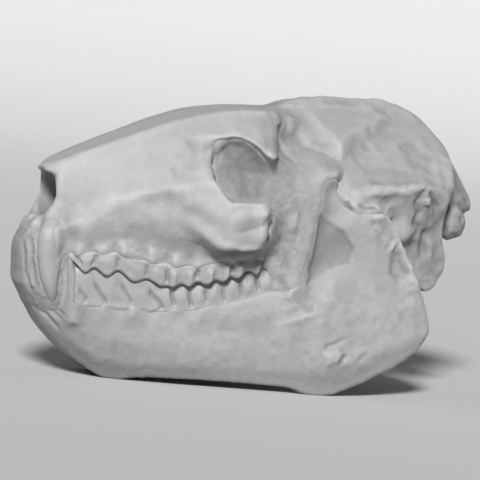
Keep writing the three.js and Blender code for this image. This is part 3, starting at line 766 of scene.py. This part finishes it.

# %% [markdown]
# Last come narrow marks: the slit behind the brow, the groove on the cheek stub, the folds behind
# the ear, the rough end of the jaw joint and the swellings over the tooth roots. A Decimate modifier
# then takes out what the eye can't see, and the painted shade goes on: the nose and the neck get
# darker, and the face gets a painted highlight.

# %% Cranium, its marks and painted shade
cranium_marks = [
    # the slit behind the brow and the groove on the cheek stub
    line(-1.0, 1.1, [(0.6, 114), (1.4, 110), (2.6, 106.2), (4.6, 101.6), (7, 98)]),
    line(-0.35, 1.0, [(-24, 67.4), (-16.5, 69.6), (-12.4, 71.4), (-9.6, 74.4)]),
    rough(0.25, 3, [(-16, 80), (-6, 80), (-6, 65), (-14, 66)]),
    # the condyle at the back, and the small hole in front of the eye
    line(-1.0, 1.2, [(88, 93), (87, 85), (86, 78)]),
    line(-0.8, 1.2, [(93, 84), (94, 79), (92.4, 75)]),
    rough(0.4, 3.5, [(84, 90), (104, 92), (104, 68), (84, 66)]),
    line(-0.5, 1.0, [(-47.6, 91.2), (-47, 88.8)]),
    # the broken end of the jaw joint
    line(-0.8, 2.2, [(38, 83.4), (42, 84.6), (47, 84.8), (52, 86.4), (57, 87.4)]),
    line(-0.8, 1.1, [(34, 83.2), (37.3, 80.6), (41, 80.8), (44, 79.6)]),
    line(0.8, 1.5, [(28.5, 85), (31.5, 83.4), (33.4, 80.2)]),
    rough(0.4, 4.5, jaw_joint_root),
    rough(0.3, 9, back_of_braincase),
    # the folds behind the ear and on the process below it
    line(-1.6, 1.8, [(67.4, 92), (66, 88.6), (63.8, 84.9), (65.4, 80.2), (64.4, 76), (66.6, 73.4), (65, 68)]),
    line(-1.6, 1.4, [(68.4, 91), (71.6, 86.5), (74, 83.5), (75, 79)]),
    line(1.4, 1.7, [(68.4, 87.4), (69, 83)]),
    line(1.0, 2.6, [(77.6, 92), (78.6, 86), (77.6, 79)]),
    line(-1.5, 1.8, [(71, 74), (70.4, 66), (70.6, 58)]),
    line(0.7, 1.8, [(74.5, 70), (74.5, 58)]),
    rough(0.4, 4, [(62, 80), (80, 80), (82, 50), (66, 50)]),
    # the top of the crest, and the swollen gum over the tooth roots
    rough(0.4, 8, [(8, 6), (72, 6), (72, -6), (8, -6)], "top"),
    line(0.5, 1.6, [(-87, 54.4), (-80, 54.6), (-72, 55.6), (-64, 55.2), (-56, 53.8), (-48, 52.6)]),
    line(0.5, 1.5, [(-47, 52.4), (-40, 52.2), (-33, 53.2), (-25, 55), (-16, 57), (-7, 58.5)]),
    rough(0.35, 4, [(-86, 60), (-60, 60), (-40, 56), (-8, 62), (-6, 54), (-40, 48), (-86, 50)]),
]
sculpt(cranium, cranium_marks, 2)
weathered(cranium, wave=0.12, grain=0.07, seed=5)
applied(cranium, "DECIMATE", ratio=0.31)


def cranium_painted_shade(points):
    """Painted shade: 1 inside the nasal opening, some on the back of the head, and less than none, a painted
    highlight, on the face.
    """
    x, h, z = points[:, 0], np.abs(points[:, 1]), points[:, 2]
    nose = past(x, -94, 2) * short_of(x, -80, 2) * short_of(h, 12.8, 1.2)
    nose = nose * past(z, 63, 1.5) * short_of(z, 86, 1.5)
    neck = 0.7 * past(x, 56, 20) * short_of(z, 96, 16) + 0.4 * past(x, 84, 6)
    return nose + neck - 0.4 * short_of(x, 6, 20) * past(z, 58, 8) * (1 - nose)


placed(cranium, bone_finish, "fossil_bone", "cranium", extra_shade_and_highlight=cranium_painted_shade)

# %% [markdown]
# The mandible. Its back corner swells into a deep rounded angle, and a shallow hollow for the
# chewing muscle opens behind the front edge of the upright part. That edge is one list of knots, and
# each knot has the way to its bone side. Here the mould steps down from it behind the edge, and the
# rock later uses the same list from its own side, so the two meet along the edge.

# %% Mandible, its big forms
mandible = copy_of("mandible", "mandible_bone")
applied(mandible, "REMESH", mode="VOXEL", voxel_size=COARSE)
evened(mandible, 70)
drawn_in(mandible, lower_gum, lower_outer, tooth_width=7.5, up=1, reach=(-82, 2))
dragged(mandible, [
    ((-99.5, 3, 36), 7, (1.6, 0, -0.6)),
    ((-96, 11, 36), 5, (1.2, -0.8, -0.6)),
    ((-96, 5, 29), 7, (1.0, 0, 0.8)),
])
applied(mandible, "REMESH", mode="VOXEL", voxel_size=FINE)
# x, z, distance from the midline, the way to the bone side (x, z), and how high the step is
ramus_crest = [
    (10.5, 41, 38.7, 1, 0, 0), (11, 46, 38.7, 1, 0, 0.35), (11.9, 54, 38.5, 1, 0, 1),
    (13.6, 62, 38.3, 1, 0, 1), (14.8, 70, 37.9, 1, 0, 0.95), (16.6, 78, 37.2, 1, -0.1, 0.7),
    (17.5, 84, 36.6, 1, -0.2, 0.6), (18.6, 89.5, 35.9, 0.8, -0.6, 0.55),
    (21.2, 92.4, 35.3, 0.5, -0.87, 0.5), (25, 93.6, 34.6, 0, -1, 0.45), (28.6, 92.6, 34.2, -0.4, -0.9, 0.4),
]
behind_crest = [
    (x + way * along, z + way * up, top + drop * step) for x, z, top, along, up, step in ramus_crest
    for way, drop in ((0.5, -0.5), (2, -0.9), (3.2, -1.7), (4.6, -2.5))
]
ramus = [
    (6, 41), (8, 50), (10, 60), (12, 72), (13.5, 84), (16, 95), (27, 96.5), (31.5, 90), (31, 82), (40, 80),
    (52, 78), (54, 70), (58, 60), (62, 50), (58, 34), (42, 30), (20, 32),
]
moulded(mandible, ramus, 3, behind_crest + [
    (29.5, 86, 34.4), (20, 54, 35.8), (21, 62, 35.5), (22, 70, 35.5), (23.5, 77, 35.3), (25, 84, 34.9),
    (24.5, 60, 35.8), (27.5, 66, 36.2), (26, 71, 36.6), (35, 58, 39), (35.5, 66, 39), (30, 74, 38),
    (33, 51, 40.2), (25, 48, 40.6), (20, 42, 41.1), (38, 78, 39), (44, 78, 40), (51, 75, 40.4),
    (42, 70, 40.4), (42, 60, 41.2), (52, 62, 41.6), (42, 50, 42.2), (52, 50, 43.2), (30, 42, 41.8),
    (42, 42, 43.2), (52, 42, 44.5), (58, 42, 45.5), (60, 48, 45), (10, 34, 40.2), (20, 36, 41.8),
    (30, 36, 42.6), (42, 36, 44.2), (52, 34, 45.9), (30, 30, 43.4), (42, 30, 45.1), (58, 34, 46.6),
])
applied(mandible, "REMESH", mode="VOXEL", voxel_size=FINE)
evened(mandible, 6)
# the chin, and the back edge of the coronoid process
melted(mandible, 70, lambda p: short_of(p[:, 0], -82, 4))
melted(mandible, 50, lambda p: past(p[:, 0], 26.5, 1.5) * short_of(p[:, 0], 34, 2) * past(p[:, 2], 80, 3))
print("mandible skin has", len(mandible.data.vertices), "points")

# %% [markdown]
# The mandible's strokes: the chewing muscle's hollow gets a flat floor with a clear edge, and a wide
# patch swells the jaw angle, because that bone is thick where the muscle held on. The narrow marks
# are wrinkles on the angle, cracks down the chin and rims round the joint.

# %% Mandible, its forms, marks and painted shade
hollow_floor = [
    (15, 47), (16.5, 56), (18, 66), (18.6, 76.7), (22.5, 74), (29.6, 70), (34.4, 63.5), (32.5, 57),
    (23.6, 54), (19, 50),
]
jaw_angle = [(14, 34), (30, 40), (46, 44), (60, 42), (66, 30), (58, 18), (44, 10), (28, 8), (16, 16)]
mandible_forms = [
    patch(1.5, 16, jaw_angle),
    patch(-0.8, 2.4, hollow_floor),
    patch(-1.8, 4, [(52, 65), (55, 60), (58, 54.5), (54, 50.5), (50, 54)]),
    line(1.0, 3, [(61, 54), (58.5, 49.5), (61, 46)]),
    patch(-0.9, 12, [(-36, 29), (0, 33), (2, 20), (-30, 20)]),
    line(0.7, 7, [(-60, 12), (-20, 11)]),
]
mandible_marks = [
    # the rim below the jaw joint, and the ridge and groove behind the last tooth
    line(1.1, 1.1, [(52.4, 68.8), (51, 65.7), (49.6, 62.8)]),
    line(0.9, 1.5, [(40, 76), (44, 78), (50, 77.6)]),
    line(0.5, 1.5, [(3.4, 29.2), (8, 31), (11.7, 32.7), (20, 35.8)]),
    line(-0.5, 1.6, [(7, 33.8), (12, 35.8), (18, 37.8)]),
    # the wrinkles of the jaw angle
    line(-0.6, 1.0, [(21, 19), (24, 22.2), (27.3, 23.6), (31.6, 25.5)]),
    patch(0.8, 3, [(23, 18), (28, 21), (30, 19), (28.5, 15), (24, 14)]),
    line(-0.8, 1.1, [(29, 13), (30, 16.5), (31.9, 19.6)]),
    line(-0.4, 1.0, [(36.6, 15.6), (39, 18.6), (41.8, 20.3)]),
    rough(0.3, 6, [(4, 36), (24, 42), (60, 52), (66, 40), (60, 20), (40, 8), (16, 8)]),
    rough(0.25, 6, [(-84, 28), (4, 34), (4, 8), (-70, 6)]),
    rough(0.35, 3.5, [(44, 80), (58, 62), (66, 50), (60, 44), (50, 60), (36, 74), (34, 80)]),
    # the cracks down the chin
    line(-0.8, 0.9, [(-97.5, 34), (-94, 28.6), (-90, 24), (-85, 19)]),
    line(-0.7, 0.9, [(-95, 37), (-92.4, 31.6), (-89.6, 28), (-85, 24)]),
    line(-0.5, 0.8, [(-91, 31.5), (-88, 28.6), (-84.4, 26.4)]),
]
sculpt(mandible, mandible_forms, 3)
sculpt(mandible, mandible_marks, 4)
weathered(mandible, wave=0.12, grain=0.07, seed=9)
applied(mandible, "DECIMATE", ratio=0.42)


def mandible_painted_shade(points):
    """A little darker everywhere, and painted shade on the chin, on the underside and in the muscle hollow.
    """
    x, z = points[:, 0], points[:, 2]
    muscle_hollow = eased(inside_of(hollow_floor, points[:, (0, 2)]) / 3 + 0.5)
    return 0.15 + 0.4 * short_of(x, -66, 24) + 0.3 * short_of(z, 22, 16) + 0.45 * muscle_hollow


placed(mandible, bone_finish, "fossil_bone", "mandible", extra_shade_and_highlight=mandible_painted_shade)

# %% [markdown]
# The rock. When the skull lay in the ground, mud set hard in the eye sockets, behind the broken
# cheek bones and between the jaws and the front teeth. The CAD solid gives its inner part. Its
# outside is a subdivided block for each side of the head, whose outer face is set to a smooth
# relief that dips under the bone at its edges. One remesh makes a single skin of it all.

# %% Rock, its outer face
socket_and_temple = [
    (-35, 100, 26), (-35, 90, 28), (-31.5, 105.5, 33.5), (-27, 107.2, 35.2), (-21.5, 107.6, 36.8),
    (-17.4, 106.6, 37.6), (-13.6, 103.6, 38.2), (-10.2, 101, 38.6), (-7.5, 98.6, 38.6),
    (-31.5, 100.5, 33.4), (-30.4, 96, 32), (-30.2, 91.5, 32.6), (-29, 86, 34), (-26, 81, 36.5),
    (-24, 101, 31.8), (-22, 96, 29.6), (-21, 90, 29.4), (-21, 84, 31.5), (-20, 79, 35), (-15, 101, 34.4),
    (-14, 96, 31.6), (-13, 90, 31.4), (-13, 84, 33.2), (-13, 79, 35.5), (-8, 94, 35.2), (-7.5, 88, 34.6),
    (-7, 82, 35.4), (-14, 74, 30), (-24, 72, 28), (-34, 64, 22), (-34, 52, 22), (-26, 60, 24),
    (-16, 52, 24), (-12, 60, 28), (-10, 66, 32), (-7.5, 73, 43), (-7.5, 68, 43), (-7.5, 64, 42),
    (-5, 78, 37.4), (-5, 73, 42.2), (-5, 68, 42.6), (-5, 63.5, 41), (-3, 73, 40.4), (-3, 68, 40.8),
    (-3, 63.5, 39.4), (-1, 73, 38), (-1, 68, 38.4), (-1, 63.5, 37.4), (-5, 58.5, 35), (-5, 54, 33),
    (-7, 50, 30), (0, 106, 16), (0.5, 101, 25), (-4, 99.2, 35.6), (-3, 96.5, 35.4), (1.5, 97.5, 31),
    (-1, 93, 34), (0, 84, 35), (1, 78, 35.8), (1, 58, 35), (-1, 50, 33), (-1, 45, 33.4), (2, 45, 35.4),
    (5, 45.4, 36.4), (2, 42, 34), (5, 42, 35), (9, 42, 36), (13, 43, 36.5), (-1, 40, 31), (6, 40, 32),
    (13, 40, 33), (8, 107, 15.5), (8, 103.5, 19.4), (8, 100, 24.6), (8, 96, 29.4), (8, 91.5, 33),
    (8, 86, 35.2), (6, 74, 36.4), (6, 64, 36.6), (6, 54, 37), (14, 107, 15), (14, 103.5, 19.6),
    (14, 100.5, 24.8), (14, 97, 29.4), (13.5, 92, 33.6), (20, 106, 16), (20, 103.5, 20.4), (20, 101, 25),
    (20, 98, 29.8), (26, 104, 19.4), (26, 101, 24.2), (26, 98, 28.2), (24, 96, 32.6), (28.6, 94.6, 30.6),
    (29.5, 97.5, 27.4), (30, 91, 30.4), (30, 86, 30.4), (32, 101, 22.6), (32, 96, 27.4), (35, 97, 23),
    (35, 89, 29), (38, 100, 16), (38, 90, 22), (25, 60, 30), (26, 80, 31), (30, 70, 30), (24, 50, 33),
    (30, 50, 30), (38, 78, 26), (38, 50, 28), (-30, 112, 26), (-14, 112, 28), (0, 112, 12), (8, 111, 13),
    (17, 111, 14), (26, 111, 15), (38, 111, 14),
]
before_crest = [
    (x + way * along, z + way * up, top + drop) for x, z, top, along, up, step in ramus_crest
    for way, drop in ((-4, -0.3), (-2, 0), (-0.5, 0.1), (0.8, -0.3), (2, -1), (3, -2.1), (4.5, -4))
    if x < 28 and z > 45 and (way > -1 or up > -0.3)
]
rock = copy_of("rock_filling", "rock_matrix")
outer_height = relief(socket_and_temple + before_crest)
slab_middle, slab_reach, slab_depth = (1.5, 75.5), (35.5, 34.5), 5
slabs = []
for side in (LEFT, RIGHT):
    slab = block_of(70)
    a, b, c = (points_of(slab) * MM).T
    x, z = slab_middle[0] + slab_reach[0] * a, slab_middle[1] + slab_reach[1] * c
    put_points(slab, np.stack([x, side * (outer_height(x, z) - slab_depth * (1 - b)), z], 1))
    if side == RIGHT:
        # its faces were turned inside out by the mirrored places
        in_edit_mode(slab, bpy.ops.mesh.normals_make_consistent, inside=False)
    slabs.append(slab)
print("rock relief has", len(socket_and_temple + before_crest), "knots")

# %% [markdown]
# The rock between the front teeth is an upright rounded lump. A grid is rolled into a closed skin:
# one direction of the grid goes up the lump and the other goes once round it, with its ends drawn
# together. The same way gives the fangs and the rows of cheek teeth further down.

# %% Rock, its filling between the front teeth
def curve_at(knots, t):
    """Points of a smooth curve through knots, t from 0 to 1."""
    knots = np.array(knots, float)
    last = len(knots) - 1
    at = np.clip(t, 0, 1) * last
    number = np.minimum(at.astype(int), last - 1)
    f = (at - number)[:, None]
    knots = np.vstack([2 * knots[0] - knots[1], knots, 2 * knots[-1] - knots[-2]])
    a, b, c, d = (knots[number + k] for k in range(4))
    return 0.5 * (
        2 * b + (c - a) * f + (2 * a - 5 * b + 4 * c - d) * f ** 2 + (3 * b - a - 3 * c + d) * f ** 3
    )


def rolled(name, columns, rows, place):
    """A grid rolled into a closed skin: place(u, v) gives its points, u along it and v once round it."""
    bpy.ops.object.select_all(action="DESELECT")
    bpy.ops.mesh.primitive_grid_add(x_subdivisions=columns, y_subdivisions=rows, size=2)
    piece = bpy.context.object
    piece.name = piece.data.name = name
    u, v = (points_of(piece)[:, :2] * MM + 1).T / 2
    put_points(piece, place(u, v))
    in_edit_mode(piece, bpy.ops.mesh.remove_doubles, threshold=1e-6)
    in_edit_mode(piece, bpy.ops.mesh.normals_make_consistent, inside=False)
    return piece


def fused(pieces):
    """Joins pieces into the first one."""
    alone(pieces[0])
    for piece in pieces:
        piece.select_set(True)
    bpy.ops.object.join()
    return bpy.context.object


def blunt(u, power):
    """How wide a rolled skin is along u: full in its middle and closed at both ends."""
    return np.sqrt(np.clip(1 - np.abs(2 * u - 1) ** power, 0, 1))


# z, how far ahead of x = -86, and how far to each side
between_front_teeth = [
    (20, 5, 9), (24, 8, 12.5), (27.5, 10.6, 15.2), (30.5, 12.8, 17), (35.5, 15.4, 18.6), (39, 17.4, 19),
    (44, 17.8, 19.2), (49, 18, 19.2), (55, 18, 18.6), (60, 16, 15.5), (63.5, 14, 13), (67, 10, 9),
]


def front_filling(u, v):
    """Upright and rounded like a soft square: u goes up it and v round it."""
    z, ahead, aside = curve_at(between_front_teeth, u).T
    turn, squareness = v * 2 * math.pi, 0.77
    round_x = np.sign(np.cos(turn)) * np.abs(np.cos(turn)) ** squareness
    round_y = np.sign(np.sin(turn)) * np.abs(np.sin(turn)) ** squareness
    return np.stack([-86 - ahead * blunt(u, 10) * round_x, aside * blunt(u, 10) * round_y, z], 1)


rock = fused([rock, *slabs, rolled("front_filling", 40, 60, front_filling)])
applied(rock, "REMESH", mode="VOXEL", voxel_size=0.6 * MM)
evened(rock, 14)
print("rock skin has", len(rock.data.vertices), "points")

# %% [markdown]
# The rock was picked away with needles, so its skin is rougher than the bone's and its marks are
# short. Deeper lines between the front teeth tell the small incisors apart. The filling of the eye
# socket and of the front of the mouth gets painted shade.

# %% Rock, its marks and painted shade
rock_forms = [
    # behind the brow and under the cheek stub
    line(-1.2, 1.0, [(2.6, 105), (4.6, 101.6), (7, 98)]),
    patch(0.9, 2.5, [(2.5, 71), (5, 76), (8, 77), (8.6, 72), (6, 68.5)]),
    line(0.8, 2, [(1.5, 62), (3, 54), (2.4, 48)]),
    line(-0.4, 1.2, [(9, 78), (8.6, 72), (7.6, 66), (6.6, 60)]),
    line(-0.6, 1.0, [(1, 72), (3, 71), (5, 72.4)]),
    line(0.6, 2.4, [(-20, 104), (-14, 101.5), (-10, 98.5)]),
    rough(0.4, 3.6, [(-4, 84), (12, 88), (12, 44), (-2, 44)]),
    rough(0.25, 6, [(-31, 106), (8, 102), (8, 80), (-31, 78)]),
    # the gaps between the front teeth
    line(-0.7, 1.0, [(-103, 56), (-102.4, 50), (-101.8, 44), (-100, 38), (-97, 33)]),
    line(-0.8, 1.1, [(-101, 59), (-100.3, 54), (-100, 48), (-98.6, 42), (-97, 36)]),
    line(-1.0, 1.1, [(-98, 60), (-97.5, 54), (-97.4, 48), (-96, 42), (-94.6, 38)]),
    rough(0.3, 3, [(-104, 62), (-84, 62), (-84, 26), (-98, 26)]),
]
sculpt(rock, rock_forms, 6)
weathered(rock, wave=0.16, grain=0.11, seed=12)
applied(rock, "DECIMATE", ratio=0.5)


def rock_painted_shade(points):
    """Painted shade: the filling of the eye socket and of the front of the mouth is darker than the rest."""
    x, z = points[:, 0], points[:, 2]
    socket = short_of(x, -4, 8) * past(x, -60, 4) * past(z, 76, 4)
    return 0.4 * socket + 0.4 * short_of(x, -84, 6)


placed(rock, matrix_finish, "rock", "rock_filling", extra_shade_and_highlight=rock_painted_shade)

# %% [markdown]
# A canine is a long curved cone, oval across, that is widest where it leaves the bone. A grid is
# rolled into a closed tube round a curved middle line, and each ring gets its own two radii. In this
# animal the first lower tooth behind the incisors does a canine's work, so it has the same form.

# %% Front teeth
def worn(piece, *waves):
    """Slightly uneven enamel; each wave is (height, length, seed)."""
    points, outward = points_of(piece), normals_of(piece)
    push = sum(height * ripple(points, length, seed) for height, length, seed in waves)
    put_points(piece, points + outward * push[:, None])


def fang(name, rings):
    """rings: x, distance from the midline, z, radius along the jaw, radius across it."""
    pair = []
    for side in (LEFT, RIGHT):
        def place(u, v):
            x, h, z, along, across = curve_at(rings, u).T
            turn, wide = v * 2 * math.pi, blunt(u, 6)
            x, h = x + along * wide * np.cos(turn), h + across * wide * np.sin(turn)
            return np.stack([x, side * h, z], 1)
        pair.append(rolled(name, 70, 56, place))
    piece = fused(pair)
    worn(piece, (0.25, 5, 3), (0.1, 2, 4))
    placed(piece, enamel_finish, "fossil_bone")


fang("upper_canines", [
    (-90, 13.4, 69, 4, 2.6), (-93.2, 16.4, 62, 4.8, 4.2), (-93.8, 17.2, 55, 5, 4.2),
    (-93.4, 17.5, 48, 4.6, 4), (-92.6, 17.6, 41, 3.6, 3.6), (-91.2, 17, 35, 2.4, 2.6),
    (-89.6, 15.2, 30, 1.6, 1.4),
])
fang("lower_front_premolars", [
    (-83.2, 15.8, 25, 3.6, 2.3), (-83.8, 16.8, 33, 3.8, 2.4), (-84.3, 17.2, 42, 3.8, 2.4),
    (-84.6, 17.2, 48, 3.4, 2.2), (-84.7, 17, 54, 2.2, 1.6),
])

# %% [markdown]
# The cheek teeth of a leaf eater stand in a closed row. Each has ribs down its outer face and a row
# of low points along its edge, and the crowns touch. So a whole row is one rolled grid: round it go
# the outer face, the chewing surface, the inner face and the root, and along it runs a relief of
# ribs and valleys. The seams between the crowns are then drawn as narrow grooves.

# %% Cheek teeth, their making
def tooth_row(name, edge, ribs, gum, outer, lean, seams, up):
    """Both rows of one jaw. ribs are (x, strength, width); lean is how far the crowns lean in at their
    edge; up is 1 in the lower jaw and -1 in the upper."""
    tooth_width, root_depth, basin = (10, 4, 1.8) if up < 0 else (7, 3, 1.2)
    front, back = edge[0][0], edge[-1][0]
    blur = (-1.4, -0.7, 0, 0.7, 1.4)
    rows = []
    for side in (LEFT, RIGHT):
        def place(u, v):
            x = front + u * (back - front)
            tip, bed = sum(line_at(edge, x + shift) for shift in blur) / len(blur), line_at(gum, x)
            root = bed - up * root_depth
            chewed = np.clip((v - 0.4) / 0.15, 0, 1)
            # v goes up the outer face to 0.4, over the crown to 0.55, down the inner face to 0.85, and back
            rise = np.clip(v / 0.4, 0, 1) - np.clip((v - 0.55) / 0.3, 0, 1)
            across = chewed - np.clip((v - 0.85) / 0.15, 0, 1)
            z = root + rise * (tip - root) - up * basin * np.sin(chewed * math.pi)
            crown = np.clip((z - bed) / (tip - bed), 0, 1)
            bumps = sum(strength * np.exp(-(((x - at) / width) ** 2)) for at, strength, width in ribs)
            face = line_at(outer, x) + bumps * eased(crown * 2.2) - line_at(lean, x) * crown ** 3
            face -= 0.8 * np.clip((crown - 0.8) / 0.2, 0, 1) ** 2 + 1.4 * eased((bed - z) * up / 2.4)
            inner = line_at(outer, x) - tooth_width
            h = face + across * (inner - face)
            middle, height, wide = line_at(outer, x) - tooth_width / 2, (tip + root) / 2, blunt(u, 50)
            return np.stack([x, side * (middle + (h - middle) * wide), height + (z - height) * wide], 1)
        rows.append(rolled(name, 330, 60, place))
    piece = fused(rows)
    sculpt(piece, seams, 21)
    worn(piece, (0.2, 3.4, 3), (0.08, 1.3, 4))
    placed(piece, enamel_finish, "fossil_bone")


# %% [markdown]
# A row's edge is a list of points along the jaw, low at each cusp and high between two teeth in the
# upper jaw. The premolars are broad with one rib each, and the molars have two sharp ribs.

# %% Upper cheek teeth
upper_edge = [
    (-86.6, 50.6), (-85, 50.2), (-83, 48.8), (-81, 46.6), (-79.2, 44.6), (-77.6, 45.6), (-76, 47.8),
    (-74.4, 47.6), (-72.5, 45.8), (-69.9, 44), (-67.9, 45.6), (-66, 47.6), (-64, 46.8), (-62.7, 45.6),
    (-59.9, 43.2), (-57.8, 42.5), (-55.5, 43.8), (-54, 44.8), (-51.1, 44), (-48.7, 42.4), (-46.8, 41.2),
    (-45.4, 42.8), (-42, 41.6), (-39.4, 44.2), (-35.8, 42), (-33.1, 45.4), (-28.5, 43.6), (-25.4, 46.7),
    (-22, 45), (-19, 49), (-16.4, 46.8), (-11.6, 51.4), (-7, 48.8), (-4.6, 53),
]
upper_ribs = [
    (-79.6, 0.7, 3), (-70.4, 0.7, 3), (-59.6, 0.7, 3.4), (-49.2, 0.6, 2.6), (-42.9, 1.2, 1.5),
    (-36.3, 1.2, 1.5), (-27.7, 1.3, 1.5), (-21.1, 1.3, 1.5), (-15.2, 1.4, 1.6), (-7.3, 1.4, 1.8),
]
upper_seams = [
    line(-1.0, 0.8, [(-84.4, 54), (-82.4, 50.8), (-80.6, 47.6)]),
    line(-1.1, 0.9, [(-74.6, 54), (-75.4, 51), (-76.6, 47.6)]),
    line(-0.9, 0.8, [(-66, 53.4), (-66.2, 50), (-65.8, 47.6)]),
    line(-0.9, 0.8, [(-54.2, 51.6), (-54, 48), (-54, 45)]),
    line(-1.0, 0.8, [(-45.8, 50.4), (-45.6, 46), (-45.4, 43)]),
    line(-1.1, 0.9, [(-33, 51), (-33.2, 48), (-33.1, 45.8)]),
    line(-1.1, 0.9, [(-19, 54), (-19, 51), (-19, 49.2)]),
]
upper_lean = [(-86, 0.6), (-4, 1)]
tooth_row(
    "upper_cheek_teeth", upper_edge, upper_ribs, upper_gum, upper_outer, upper_lean, upper_seams, up=-1)

# %% [markdown]
# The lower row has rounder ribs, and its crowns lean in further back, under the upper row. Its seams
# slant, because the lower premolars lean forwards.

# %% Lower cheek teeth
lower_edge = [
    (-86, 45), (-82.5, 47), (-79, 49), (-72.4, 49.6), (-68, 49.8), (-63.6, 49.2), (-60.4, 48),
    (-56.6, 47.8), (-51.3, 47), (-45, 46), (-39.2, 47), (-35.4, 47), (-28.4, 48.4), (-23.1, 49.6),
    (-20.6, 50), (-15.2, 51.8), (-13.4, 52), (-7.6, 53.6), (-5, 53.6), (-2.4, 53), (2, 51.6), (4, 48),
]
lower_ribs = [
    (-77.4, 0.5, 3), (-67.4, 0.5, 3.2), (-56, 0.5, 3.4), (-44, 0.5, 2), (-37.4, 0.8, 2), (-30.4, 0.8, 2),
    (-24.2, 0.9, 2), (-16.6, 0.9, 2), (-9.4, 1, 2), (-1.6, 0.9, 2.4),
]
lower_seams = [
    line(-0.9, 0.8, [(-80.7, 40), (-79.7, 36.8), (-77.4, 34.6), (-78.8, 31)]),
    line(-1.0, 0.8, [(-74.8, 42), (-71.9, 37), (-69.3, 33.8), (-70.5, 31.4)]),
    line(-1.0, 0.8, [(-63.8, 42), (-61.3, 38), (-59, 35), (-59.4, 32)]),
    line(-1.0, 0.8, [(-52, 41), (-50.5, 37.7), (-47.4, 35.4), (-45.8, 33), (-48.4, 31.4)]),
    line(-1.1, 0.8, [(-43, 41), (-41.6, 37), (-40.5, 33.4)]),
    line(-1.0, 0.8, [(-35.2, 41), (-34.4, 37), (-33.2, 33)]),
    line(-1.0, 0.8, [(-28.1, 42), (-27.8, 39), (-27.2, 36)]),
    line(-1.1, 0.8, [(-21.2, 44), (-20.4, 40), (-19.2, 36.4)]),
    line(-1.1, 0.8, [(-13.6, 46), (-12.8, 42), (-11.8, 38.6)]),
    line(-1.1, 0.8, [(-6.8, 49), (-6, 45.6), (-4.8, 42.2)]),
]
lower_lean = [(-86, 0.8), (-60, 1), (-50, 2), (-42, 3.4), (-4, 3.6), (4, 1.5)]
tooth_row(
    "lower_cheek_teeth", lower_edge, lower_ribs, lower_gum, lower_outer, lower_lean, lower_seams, up=1)
